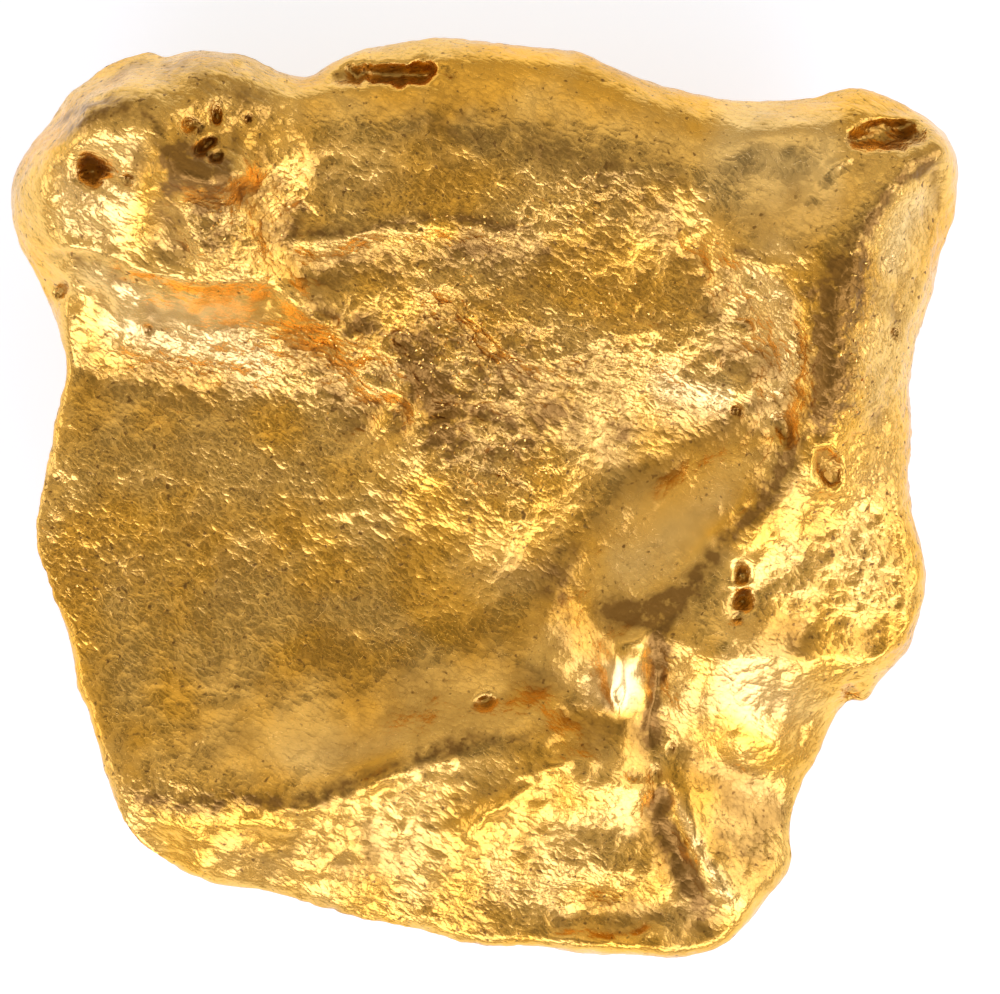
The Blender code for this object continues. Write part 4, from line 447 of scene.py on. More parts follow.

# Bands of painted shade (or, with a negative strength, painted sheen): strength, width to the left and to the
# right of their run, and their line.
SHADE_AND_SHEEN_BANDS = {
    'ridge_back': (0.9, 0.2, 0.3, ((11.6, 8.7), (10.8, 8.1), (10.1, 7.6), (9.6, 6.85), (9.3, 6.3))),
    'ridge_top': (1.7, 0.5, 0.5, ((9.7, 6.9), (9.25, 6.2), (8.9, 5.5), (8.7, 4.95), (8.55, 4.35),
        (8.5, 3.7), (8.55, 3), (8.45, 2.5), (8.2, 1.85), (7.9, 1.35))),
    'tongue_top': (1, 0.3, 0.35, ((8.3, 2.1), (7.9, 1.5), (7.45, 0.8), (7, 0), (6.5, -0.55),
        (5.85, -1.2), (5.35, -1.9), (4.9, -2.5), (4.15, -2.9), (2.9, -3))),
    'knot': (1.2, 0.25, 0.25, ((4.05, -2.6), (4.35, -3.15), (4.4, -3.9), (4.2, -5), (4.15, -5.9),
        (4.2, -6.5))),
    'knot_top': (1.1, 0.25, 0.3, ((2.5, -2.65), (3.4, -2.8), (4.3, -2.65), (5, -2.3))),
    'knob_ring': (0.65, 0.3, 0.3, ((-11.1, 8.2), (-10.4, 8.9), (-9.6, 9.4), (-8.7, 9.6),
        (-8.15, 9.3), (-7.7, 8.45), (-7.2, 7.8), (-6.2, 7.7), (-5.65, 7.9))),
    'knurl_dark': (0.35, 0.5, 0.5, ((-7, 7.45), (-6.55, 6.6), (-6.65, 5.8))),
    'knob_seam': (0.5, 0.15, 0.15, ((-10.85, 9.2), (-10.35, 9.45), (-9.85, 9.7), (-8.85, 9.9))),
    'knob_back': (0.3, 0.8, 0.8, ((-8.35, 10.6), (-7.35, 10.35), (-6.1, 9.95), (-4.95, 9.45))),
    'shelf_top': (0.4, 0.6, 0.45, ((-3.35, 9.5), (-1.6, 9.3), (-0.1, 9), (1.65, 8.5), (3.15, 8.1),
        (4.5, 8.05), (5.4, 8.3))),
    'ledge_top': (0.6, 0.2, 0.1, ((-5.55, 6.45), (-4.85, 6.5), (-3.35, 6.6), (-2.5, 6.75),
        (-1.35, 6.95), (-0.45, 6.9), (0.65, 6.7), (1.9, 6.7))),
    'south_top': (0.75, 0.3, 0.25, ((-9.6, -6.9), (-8.85, -7.4), (-7.35, -7.7), (-5.85, -7.5),
        (-4.6, -7.6), (-3.5, -7.2), (-2.35, -6.7), (-0.85, -6.2), (0.9, -5.9), (2.4, -5.9))),
    'spur_side': (0.95, 0.6, 0.45, ((-2.3, 4.1), (-1.7, 3.4), (-1.35, 2.6), (-1.1, 1.7),
        (-1.2, 0.45))),
    'groove': (1.1, 0.3, 0.25, ((4.3, -6.8), (4.5, -7.9), (4.9, -8.95), (5.3, -9.8), (5.7, -10.65))),
    'scoop': (0.5, 0.45, 0.45, ((5.5, -8.4), (6.4, -8.8), (7.5, -8.8))),
    'lip_shade': (0.4, 0.1, 0.1, ((-11.35, 6.1), (-10.35, 6), (-9.35, 5.9), (-8.7, 5.45),
        (-7.85, 5.2), (-6.7, 5.15), (-5.55, 5.15))),
    'pocket_top': (0.7, 0.2, 0.2, ((5.85, 6.3), (6.5, 6.05), (7.15, 5.7), (7.8, 5.25), (8.45, 4.7))),
    'spur_top': (0.5, 0.2, 0.2, ((-4.7, 5.4), (-3.85, 4.7), (-3.25, 4.35), (-2.6, 4.15),
        (-2.05, 3.65), (-1.7, 2.9), (-1.5, 2))),
    'valley_shade': (0.4, 0.6, 0.6, ((2.4, -0.8), (2, -2.25), (1.8, -3.65))),
    'slope_pale': (-0.7, 0.65, 0.65, ((-9.85, 4.7), (-8.35, 4), (-6.6, 3.7), (-4.6, 3.15))),
    'rib_c_pale': (-0.8, 0.2, 0.25, ((4.6, -7.15), (5.15, -8.3), (5.7, -9.2), (6.35, -10.3))),
    'flank_hi': (-0.8, 0.45, 0.45, ((11.15, 7.85), (10.4, 6.7), (9.85, 5.2))),
    'knurl_top': (0.9, 0.5, 0.5, ((-7.7, 8.8), (-7.1, 8.2), (-5.95, 8))),
    'knob_fold': (0.4, 0.2, 0.2, ((-7.9, 8.45), (-7.7, 7.45), (-7.5, 6.45))),
    'slab_pale': (-0.75, 1.5, 1.5, ((5.15, 8.95), (7.4, 8.35), (9.15, 8.35))),
    'pocket_pale': (-0.5, 0.75, 0.75, ((6, 6.2), (7.4, 4.95), (7.3, 2.5), (6.65, 1.5))),
    'tongue_pale': (-0.5, 0.75, 0.65, ((6.65, 0.55), (5.4, -0.3), (4.15, -1.25), (2.9, -2.15))),
    'rib_pale': (-1, 0.75, 0.75, ((3.5, -3.9), (3.4, -5.4))),
    'bulge_pale': (-0.6, 1.1, 1.1, ((5.4, -4.5), (6.9, -4.8), (6.4, -5.8))),
    'wall_pale': (-0.6, 0.55, 0.55, ((-10.55, 5.7), (-9.35, 5.3), (-8.1, 4.8), (-6.6, 4.65),
        (-5.2, 4.65))),
    'knob_pale': (-0.6, 1.1, 1.1, ((-10.85, 7.45), (-9.6, 7.6), (-8.35, 7.35))),
    'flank_pale': (-0.25, 1, 1, ((10.15, 5.45), (10, 2.5), (9.65, -0.5), (8.9, -2.75))),
    'mid_dark': (0.35, 1.15, 0.9, ((-1.2, 5.2), (0.15, 4), (1.4, 2.85), (2.65, 1.85))),
    'step_dark': (0.3, 1.1, 0.9, ((-0.85, 3), (0.4, 1.85), (1.9, 1.2))),
    'ledge_dark': (0.3, 0.55, 0.65, ((-1.35, 6.7), (0.9, 6.2), (3.9, 6.45))),
    'slope_dark': (0.45, 0.65, 0.65, ((1.4, 1.7), (2.9, 1.85), (4.4, 1.4))),
    'shelf_end': (0.35, 0.6, 0.6, ((3.15, 7.35), (5.15, 7))),
    'east_pale': (-0.8, 0.65, 0.65, ((3.9, 3), (5.4, 2.6), (6.35, 2.5))),
    'spur_dark': (0.4, 0.65, 0.6, ((-4.6, 4.95), (-3.6, 4.2), (-2.8, 3.65))),
    'brow_dark': (0.2, 0.9, 0.9, ((-7.6, -8.4), (-4.6, -8.8), (-1.6, -9.15))),
    'front_pale': (-0.4, 0.6, 0.6, ((-5.6, -6.5), (-3.6, -6.4), (-1.6, -5.9))),
}


# ---------------------------------------------------------------- settings


class NuggetSkinSettings(bpy.types.PropertyGroup):
    cells: bpy.props.IntProperty(
        name="Cells", description="Cells across the upper skin, a multiple of four",
        default=240, min=40, max=268)
    dimple_size: bpy.props.FloatProperty(
        name="Dimple Size", description="Size of one dimple of the worn skin",
        default=0.00045, unit='LENGTH', precision=5)
    dimple_height: bpy.props.FloatProperty(
        name="Dimple Height", description="How far the dimples rise and sink",
        default=0.00007, unit='LENGTH', precision=6)
    facet_size: bpy.props.FloatProperty(
        name="Facet Size", description="Size of one crinkle of the crystalline skin",
        default=0.00038, unit='LENGTH', precision=5)
    facet_height: bpy.props.FloatProperty(
        name="Facet Height", description="Height of the crinkles where the skin is crystalline",
        default=0.00009, unit='LENGTH', precision=6)


class NuggetGrainSettings(bpy.types.PropertyGroup):
    density: bpy.props.FloatProperty(
        name="Density", description="Crystal grains on each square metre of fully crystalline skin",
        default=2.5e7, min=0.0)
    size: bpy.props.FloatProperty(
        name="Size", description="Length of the largest crystal grain",
        default=0.00016, unit='LENGTH', precision=6)
    tilt: bpy.props.FloatProperty(
        name="Tilt", description="How far a grain may lean out of the skin",
        default=math.radians(35), subtype='ANGLE')


class NuggetGoldSettings(bpy.types.PropertyGroup):
    colour: bpy.props.FloatVectorProperty(
        name="Gold", description="Colour of the clean metal",
        default=(1.0, 0.60, 0.14), min=0.0, max=1.0, subtype='COLOR')
    warm: bpy.props.FloatVectorProperty(
        name="Warm Gold", description="Colour of the metal in its warmer clouds",
        default=(1.0, 0.53, 0.07), min=0.0, max=1.0, subtype='COLOR')
    # painted sheen: this pale colour lightens the gold along the bands below zero, as a highlight would
    pale: bpy.props.FloatVectorProperty(
        name="Pale Gold", description="Colour of the metal where it is rubbed smooth",
        default=(1.0, 0.70, 0.27), min=0.0, max=1.0, subtype='COLOR')
    # this colour is also what the painted shade in hollows, crevices and dark bands darkens the gold towards
    patina: bpy.props.FloatVectorProperty(
        name="Patina", description="Colour of the stain that stays in the hollows",
        default=(0.26, 0.13, 0.03), min=0.0, max=1.0, subtype='COLOR')
    roughness: bpy.props.FloatProperty(
        name="Roughness", description="Roughness of the worn skin",
        default=0.22, min=0.0, max=1.0, subtype='FACTOR')


class NuggetStageSettings(bpy.types.PropertyGroup):
    floor: bpy.props.FloatVectorProperty(
        name="Floor", description="Colour of the floor",
        default=(0.7, 0.7, 0.7), min=0.0, max=1.0, subtype='COLOR')
    key: bpy.props.FloatProperty(
        name="Key", description="Brightness of the large front light",
        default=1.88, min=0.0)
    sides: bpy.props.FloatProperty(
        name="Sides", description="Brightness of the two side lights",
        default=0.9, min=0.0)
    back: bpy.props.FloatProperty(
        name="Back", description="Brightness of the high light at the back",
        default=0.2, min=0.0)


# ---------------------------------------------------------------- the surveyed shape

def spline(points, closed=False):
    """Catmull-Rom curve through the points."""
    rows = np.asarray(points, float)
    before = rows[-1:] if closed else 2 * rows[:1] - rows[1:2]
    after = rows[:2] if closed else 2 * rows[-1:] - rows[-2:-1]
    rows = np.vstack((before, rows, after))
    last = rows[1:2] if closed else rows[-2:-1]
    a, b, c, d = (rows[i:len(rows) - 3 + i, None, :] for i in range(4))
    t = (np.arange(SPLINE_STEPS) / SPLINE_STEPS)[None, :, None]
    curve = b + 0.5 * t * (c - a + t * (2 * a - 5 * b + 4 * c - d + t * (3 * (b - c) + d - a)))
    return np.vstack((curve.reshape(-1, rows.shape[1]), last))


def resample(curve, count):
    """The curve's points again, spread evenly by their distance in plan."""
    steps = np.hypot(*np.diff(curve[:, :2], axis=0).T)
    run = np.concatenate(([0.0], np.cumsum(steps)))
    at = np.linspace(0.0, run[-1], count)
    return np.stack([np.interp(at, run, column) for column in curve.T], axis=1)


def survey_points():
    """Every surveyed height, spread along its line."""
    rows = []
    for line in SURVEY.values():
        curve = spline(line)
        length = np.hypot(*np.diff(curve[:, :2], axis=0).T).sum()
        rows.append(resample(curve, 2 + int(length / SURVEY_SPACING)))
    return np.vstack(rows)


def plate_kernel(places, knots):
    """Thin-plate kernel r^2 log r between each place and each knot."""
    squares = ((places[:, None] - knots[None]) ** 2).sum(axis=2)
    return 0.5 * squares * np.log(np.maximum(squares, LEAST_SQUARE))


def thin_plate(points):
    """A function that gives the height, at any places, of the smooth skin through the points."""
    knots = points[:, :2]
    count = len(knots)
    plane = np.column_stack((np.ones(count), knots))
    system = np.zeros((count + 3, count + 3))
    system[:count, :count] = plate_kernel(knots, knots) + SKIN_STIFFNESS * np.eye(count)
    system[:count, count:] = plane
    system[count:, :count] = plane.T
    weights = np.linalg.solve(system, np.concatenate((points[:, 2], np.zeros(3))))

    def height(places):
        flat = np.column_stack((np.ones(len(places)), places)) @ weights[count:]
        return flat + plate_kernel(places, knots) @ weights[:count]

    return height


def smooth_step(value):
    value = np.clip(value, 0.0, 1.0)
    return value * value * (3 - 2 * value)


def crease_height(places, height, left, right, line):
    """A raised or cut crease along a line, with its own width on each side, fading at both ends."""
    curve = spline(line)
    starts, ends = curve[:-1], curve[1:]
    along = ends - starts
    offsets = places[:, None] - starts[None]
    share = np.clip((offsets * along).sum(axis=2) / (along ** 2).sum(axis=1), 0.0, 1.0)
    gaps = offsets - share[:, :, None] * along
    distances = np.hypot(gaps[:, :, 0], gaps[:, :, 1])
    nearest = distances.argmin(axis=1)
    pick = (np.arange(len(places)), nearest)
    gap, way = gaps[pick], along[nearest]
    side = way[:, 0] * gap[:, 1] - way[:, 1] * gap[:, 0]
    width = np.where(side > 0, left, right)
    progress = (nearest + share[pick]) / len(starts)
    fade = smooth_step(progress / CREASE_FADE) * smooth_step((1 - progress) / CREASE_FADE)
    return height * fade * np.exp(-(distances[pick] / width) ** CREASE_SHARPNESS)


def pit_height(places, ragged, x, y, half_length, half_width, turn, depth, lip):
    """A ragged pit with a raised lip; a negative depth makes a small lump."""
    angle = math.radians(turn)
    offset = places - (x, y)
    u = (offset @ (math.cos(angle), math.sin(angle))) / half_length
    v = (offset @ (-math.sin(angle), math.cos(angle))) / half_width
    radius = np.hypot(u, v) * ragged
    ring = np.exp(-((radius - PIT_LIP_PLACE) / PIT_LIP_WIDTH) ** 2)
    return lip * ring - depth * np.exp(-PIT_STEEPNESS * radius ** 3)


def near(places, centre, reach):
    """Which places lie in the square of that half size about the centre."""
    return (np.abs(places - centre) < reach).all(axis=1)


def waver(places):
    """The places moved a little sideways, so that every surveyed line and crease runs unevenly."""
    moved = places.copy()
    for size, reach, seed in WAVER:
        start = seed * Vector(DRIFT_STEP)
        drift = [noise.noise_vector(Vector((x, y, 0.0)) / size + start)[:2] for x, y in places.tolist()]
        moved += reach * np.array(drift)
    return moved


def skin_height(places):
    """Height of the upper skin at the places, before it rolls over the rim."""
    places = waver(places)
    height = thin_plate(survey_points())(places)
    level = np.column_stack((places, np.zeros(len(places))))
    strength = 1 + CREASE_BREAK * noise_field(level, CREASE_BREAK_SIZE, CREASE_SEED)
    ragged = 1 + PIT_RAGGED * noise_field(level, PIT_RAGGED_SIZE, PIT_SEED)
    for rise, left, right, line in CREASES.values():
        low, high = np.min(line, axis=0), np.max(line, axis=0)
        reach = (high - low) / 2 + FADE_REACH * max(left, right)
        inside = near(places, (low + high) / 2, reach)
        height[inside] += strength[inside] * crease_height(places[inside], rise, left, right, line)
    for pit in PITS:
        inside = near(places, pit[:2], FADE_REACH * max(pit[2:4]))
        height[inside] += pit_height(places[inside], ragged[inside], *pit)
    return height


def square_rings(cells):
    """Grid of a square: each vertex's ring, counted from the middle, and its share of the way round."""
    half = cells // 2
    u, v = np.meshgrid(np.arange(-half, half + 1), np.arange(-half, half + 1), indexing="ij")
    ring = np.maximum(abs(u), abs(v))
    sides = [(u == ring) & (v < ring), (v == ring) & (u > -ring), (u == -ring) & (v > -ring)]
    walked = np.select(sides, [v + ring, 3 * ring - u, 5 * ring - v], 7 * ring + u)
    return ring.ravel(), (walked / np.maximum(8 * ring, 1)).ravel()


def plan_grid(cells, rim):
    """Places of the grid's vertices inside the rim, closer together beside it."""
    ring, share = square_rings(cells)
    half = cells // 2
    inward = (half - ring).astype(float)
    progress = inward ** 2 / (inward + EDGE_CELLS)
    spread = 1 - progress / (half ** 2 / (half + EDGE_CELLS))
    edge = rim[np.round(share * len(rim)).astype(int) % len(rim), :2]
    return ring, share, spread[:, None] * edge


def rim_distance(places, rim):
    """How far in from the rim each place is, and the number of the rim's nearest point."""
    distances = np.hypot(*(places[:, None] - rim[None, :, :2]).transpose(2, 0, 1))
    nearest = distances.argmin(axis=1)
    return distances.min(axis=1), nearest


def soft_inset(places, rim):
    """How far in from the whole rim each place is, without a crease where two sides are as near, and
    the height of the rim round about it.

    Each piece of the rim pulls by the inverse fourth power of its distance. A straight side at the
    distance d pulls pi / (2 d^3) in all, and that is turned back into a distance.
    """
    ahead = np.roll(rim, -1, axis=0)
    step = np.hypot(ahead[:, 0] - rim[:, 0], ahead[:, 1] - rim[:, 1])
    distances = np.hypot(*(places[:, None] - rim[None, :, :2]).transpose(2, 0, 1))
    pull = step / np.maximum(distances, LEAST_INSET) ** 4
    total = pull.sum(axis=1)
    return (2 * total / math.pi) ** (-1 / 3), pull @ rim[:, 2] / total


def rounded(inset, shoulder):
    """Quarter round: 0 at the rim, 1 from the shoulder inwards."""
    share = np.clip(inset / shoulder, 0.0, 1.0)
    return np.sqrt(1 - (1 - share) ** 2)


def noise_field(places, size, seed):
    """Smooth seeded noise at the places, with lumps of about that size."""
    offset = seed * Vector(NOISE_STEP)
    return np.array([noise.noise(Vector(place) / size + offset) for place in places.tolist()])


def rim_curve(cells):
    """The rim's points, four for each cell across, starting at the front right corner of the grid."""
    rim = resample(spline(RIM, closed=True), 4 * cells + 1)[:-1]
    angles = np.arctan2(rim[:, 1], rim[:, 0])
    if np.cross(rim[:, :2], np.roll(rim[:, :2], -1, axis=0)).sum() < 0:
        rim, angles = rim[::-1], angles[::-1]
    return np.roll(rim, -int(abs(angles + math.pi / 4).argmin()), axis=0)


def upper_skin(cells, rim):
    """Vertices of the upper skin, rolled over the rim."""
    ring, _, places = plan_grid(cells, rim)
    inset, nearest = rim_distance(places, rim)
    edge, shoulder = rim[nearest, 2], rim[nearest, 3]
    height = edge + (skin_height(places) - edge) * rounded(inset, shoulder)
    height[ring == cells // 2] = edge[ring == cells // 2]
    return np.column_stack((places, height))


def under_skin(cells, rim):
    """Vertices of the underside: it rounds in below the rim and sinks to a worn flat."""
    _, _, places = plan_grid(cells, rim)
    inset, edge = soft_inset(places, rim)
    climb = np.clip(1 - inset / KEEL_INSET, 0.0, 1.0)
    level = np.column_stack((places, np.zeros(len(places))))
    swell = sum(height * noise_field(level, size, seed) for size, height, seed in UNDER_WAVES)
    belly = np.maximum((edge - UNDER_LIP) * climb ** UNDER_CURVE + swell * np.sqrt(climb) - WEAR, 0.0)
    nearest = rim_distance(places, rim)[0]
    return np.column_stack((places, edge - (edge - belly) * rounded(nearest, UNDER_SHOULDER)))


def walk_rim(cells):
    """Numbers of the grid's rim vertices, in the order of the rim's points."""
    ring, share = square_rings(cells)
    outer = np.flatnonzero(ring == cells // 2)
    return outer[np.argsort(share[outer])]


def grid_faces(cells):
    """Quads of a grid, facing up."""
    number = np.arange((cells + 1) ** 2).reshape(cells + 1, cells + 1)
    corners = (number[:-1, :-1], number[1:, :-1], number[1:, 1:], number[:-1, 1:])
    return np.stack([corner.ravel() for corner in corners], axis=1).tolist()


def close_below(faces, cells, upper_rim, first):
    """The underside's faces, turned down and sewn to the upper rim, which has twice its vertices."""
    ring, _ = square_rings(cells)
    inner = ring < cells // 2
    number = np.cumsum(inner) - 1 + first
    partner = {int(vertex): place for place, vertex in enumerate(walk_rim(cells))}
    count = len(partner)
    sewn = []
    for face in faces:
        loop = []
        turned = face[::-1]
        for vertex, following in zip(turned, turned[1:] + turned[:1]):
            place, target = partner.get(vertex), partner.get(following)
            if place is None:
                loop.append(int(number[vertex]))
                continue
            loop.append(int(upper_rim[2 * place]))
            if target is not None and (target - place) % count in (1, count - 1):
                ahead = (target - place) % count == 1
                between = 2 * place + 1 if ahead else 2 * place - 1
                loop.append(int(upper_rim[between % (2 * count)]))
        sewn.append(loop)
    return inner, sewn


def smooth_body(cells):
    """The nugget's broad shape as vertices and faces, and how much relief each vertex takes."""
    rim = rim_curve(cells)
    upper = upper_skin(cells, rim)
    under = under_skin(cells // 2, rim[::2])
    inner, sewn = close_below(grid_faces(cells // 2), cells // 2, walk_rim(cells), len(upper))
    relief = np.ones(len(upper))
    worn = smooth_step(under[inner, 2] / WORN_FADE)
    vertices = np.vstack((upper, under[inner]))
    return vertices, grid_faces(cells) + sewn, np.concatenate((relief, worn))


def vertex_normals(mesh):
    normals = np.empty(3 * len(mesh.vertices))
    mesh.vertex_normals.foreach_get("vector", normals)
    return normals.reshape(-1, 3)


def roughen(mesh, vertices, share):
    """Push each vertex along its normal by the relief, and leave the worn flat as it is."""
    push = sum(height * noise_field(vertices, size, seed) for size, height, seed in RELIEF)
    moved = vertices + vertex_normals(mesh) * (push * share)[:, None]
    mesh.vertices.foreach_set("co", moved.ravel())
    mesh.update()


def zone_amounts(places):
    """How crystalline and how lumpy the upper skin is at each place."""
    amounts = np.tile((CRYSTALLINE_BASE, LUMPY_BASE), (len(places), 1))
    for x, y, half_length, half_width, turn, crystalline, lumpy in ZONES:
        angle = math.radians(turn)
        offset = places - (x, y)
        u = (offset @ (math.cos(angle), math.sin(angle))) / half_length
        v = (offset @ (-math.sin(angle), math.cos(angle))) / half_width
        amounts += np.exp(-(u * u + v * v))[:, None] * (crystalline, lumpy)
    return np.clip(amounts[:, 0], 0.0, 1.0), np.clip(amounts[:, 1], LUMPY_LEAST, LUMPY_MOST)


def shade_and_sheen_share(places):
    """How strongly the bands of painted shade darken each place, or below zero how strongly painted sheen
    lightens it.
    """
    share = np.zeros(len(places))
    for strength, left, right, line in SHADE_AND_SHEEN_BANDS.values():
        reach = FADE_REACH * max(left, right)
        corners = np.array(line)
        inside = np.all((places > corners.min(axis=0) - reach) & (places < corners.max(axis=0) + reach),
                        axis=1)
        share[inside] += crease_height(places[inside], strength, left, right, line)
    return np.clip(share, -1.0, 1.0)


def hollow_share(mesh, vertices):
    """How deep each vertex lies in a small hollow, from 0 to 1."""
    edges = np.empty(2 * len(mesh.edges), int)
    mesh.edges.foreach_get("vertices", edges)
    one, other = edges[::2], edges[1::2]
    ends, partners = np.concatenate((one, other)), np.concatenate((other, one))
    count = np.bincount(ends, minlength=len(vertices))[:, None]
    smooth = vertices
    for _ in range(HOLLOW_ROUNDS):
        sums = [np.bincount(ends, weights=smooth[partners, axis]) for axis in range(3)]
        smooth = np.stack(sums, axis=1) / count
    depth = ((smooth - vertices) * vertex_normals(mesh)).sum(axis=1)
    return np.clip(depth / HOLLOW_DEPTH, 0.0, 1.0)


def give_attribute(mesh, name, values):
    attribute = mesh.attributes.new(name, 'FLOAT', 'POINT')
    attribute.data.foreach_set("value", values.astype(np.float32))


def build_body(cells):
    """The nugget with its broad relief, in metres, and the attributes that its finish reads."""
    vertices, faces, share = smooth_body(cells)
    mesh = bpy.data.meshes.new("body")
    mesh.from_pydata(vertices.tolist(), [], faces)
    mesh.update()
    roughen(mesh, vertices, share)
    points = np.empty(3 * len(vertices))
    mesh.vertices.foreach_get("co", points)
    points = points.reshape(-1, 3)
    crystalline, lumpy = zone_amounts(points[:, :2])
    give_attribute(mesh, "hollow", hollow_share(mesh, points))
    upper = np.arange(len(points)) < (cells + 1) ** 2
    give_attribute(mesh, "crystalline", crystalline)
    give_attribute(mesh, "lumpy", lumpy)
    # painted shade in the dark bands above zero, painted sheen in the pale bands below zero
    give_attribute(mesh, "shade_and_sheen", np.where(upper, shade_and_sheen_share(points[:, :2]), 0.0))
    inset_grainy = np.clip((crystalline - GRAINS_FROM) / (1 - GRAINS_FROM), 0.0, 1.0)
    give_attribute(mesh, "grainy", np.where(upper, inset_grainy, 0.0))
    give_attribute(mesh, "relief", share)
    mesh.vertices.foreach_set("co", (points * MM).ravel())
    mesh.update()
    body = bpy.data.objects.new("body", mesh)
    bpy.context.scene.collection.objects.link(body)
    return body


def centre_on_solid(mesh):
    """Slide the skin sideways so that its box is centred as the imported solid's box is."""
    low, high = (np.array(corner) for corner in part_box("nugget"))
    points = np.empty(3 * len(mesh.vertices))
    mesh.vertices.foreach_get("co", points)
    points = points.reshape(-1, 3)
    middle = (points.min(axis=0) + points.max(axis=0)) / 2
    points[:, :2] += ((low + high) / 2 - middle)[:2]
    mesh.vertices.foreach_set("co", points.ravel())
    mesh.update()

# ---------------------------------------------------------------- Geometry Nodes


def new_tree(name, inputs):
    """A geometry tree with named inputs, as (name, socket type, default)."""
    tree = bpy.data.node_groups.new(name, 'GeometryNodeTree')
    tree.interface.new_socket("Geometry", in_out='INPUT', socket_type='NodeSocketGeometry')
    tree.interface.new_socket("Geometry", in_out='OUTPUT', socket_type='NodeSocketGeometry')
    for label, kind, value in inputs:
        socket = tree.interface.new_socket(label, in_out='INPUT', socket_type=kind)
        if value is not None:
            socket.default_value = value
    return tree, tree.nodes.new('NodeGroupInput'), tree.nodes.new('NodeGroupOutput')


def add(tree, kind, inputs=None, **settings):
    """A node with its settings, its inputs given as values or as sockets to link from."""
    node = tree.nodes.new(kind)
    for name, value in settings.items():
        setattr(node, name, value)
    for key, value in (inputs or {}).items():
        if isinstance(value, bpy.types.NodeSocket):
            tree.links.new(value, node.inputs[key])
        else:
            node.inputs[key].default_value = value
    return node


def maths(tree, operation, *values):
    """A Math node's result."""
    return add(tree, 'ShaderNodeMath', dict(enumerate(values)), operation=operation).outputs[0]


def vectors(tree, operation, **values):
    """A Vector Math node's result."""
    node = tree.nodes.new('ShaderNodeVectorMath')
    node.operation = operation
    for key, value in values.items():
        socket = node.inputs[{"a": 0, "b": 1, "scale": 3}[key]]
        if isinstance(value, bpy.types.NodeSocket):
            tree.links.new(value, socket)
        else:
            socket.default_value = value
    return node.outputs[0]


def named(tree, attribute):
    node = add(tree, 'GeometryNodeInputNamedAttribute', {"Name": attribute}, data_type='FLOAT')
    return node.outputs["Attribute"]


def finish_tree(tree, geometry, group_input, group_output):
    """Ends a tree as every tree here ends: instances realized, and the material set."""
    realized = add(tree, 'GeometryNodeRealizeInstances', {"Geometry": geometry})
    painted = add(tree, 'GeometryNodeSetMaterial', {
        "Geometry": realized.outputs[0], "Material": group_input.outputs["Material"]})
    tree.links.new(painted.outputs[0], group_output.inputs[0])


def relief_tree():
    """Pushes the skin along its normals: dimples where it is worn, crinkles where it is crystalline."""
    tree, given, result = new_tree("nugget_relief", [
        ("Dimple Size", 'NodeSocketFloat', 0.00045), ("Dimple Height", 'NodeSocketFloat', 0.00006),
        ("Facet Size", 'NodeSocketFloat', 0.00038), ("Facet Height", 'NodeSocketFloat', 0.00009),
        ("Material", 'NodeSocketMaterial', None)])
    place = add(tree, 'GeometryNodeInputPosition').outputs[0]
    crystalline, share = named(tree, "crystalline"), named(tree, "relief")
    lumps = maths(tree, 'MULTIPLY', given.outputs["Dimple Height"], named(tree, "lumpy"))

    dimple = add(tree, 'ShaderNodeTexNoise', {
        "Vector": place, "Scale": maths(tree, 'DIVIDE', 1.0, given.outputs["Dimple Size"]),
        "Detail": 2.0, "Roughness": 0.55})
    dimples = maths(tree, 'MULTIPLY', maths(tree, 'SUBTRACT', dimple.outputs[0], 0.5), lumps)

    swirl = add(tree, 'ShaderNodeTexNoise', {"Vector": place, "Scale": 1600.0, "Detail": 2.0})
    drift = vectors(tree, 'SUBTRACT', a=swirl.outputs["Color"], b=(0.5, 0.5, 0.5))
    warped = vectors(tree, 'ADD', a=place, b=vectors(tree, 'SCALE', a=drift, scale=0.0005))
    facet = add(tree, 'ShaderNodeTexVoronoi', {
        "Vector": warped, "Scale": maths(tree, 'DIVIDE', 1.0, given.outputs["Facet Size"]),
        "Detail": 1.0, "Roughness": 0.5})
    facets = maths(tree, 'MULTIPLY', maths(tree, 'SUBTRACT', 0.5, facet.outputs["Distance"]),
                   maths(tree, 'MULTIPLY', given.outputs["Facet Height"], crystalline))

    height = maths(tree, 'MULTIPLY', maths(tree, 'ADD', maths(tree, 'MULTIPLY', dimples, 2.0), facets),
                   share)
    normal = add(tree, 'GeometryNodeInputNormal').outputs[0]
    moved = add(tree, 'GeometryNodeSetPosition', {
        "Geometry": given.outputs["Geometry"], "Offset": vectors(tree, 'SCALE', a=normal, scale=height)})
    finish_tree(tree, moved.outputs[0], given, result)
    return tree


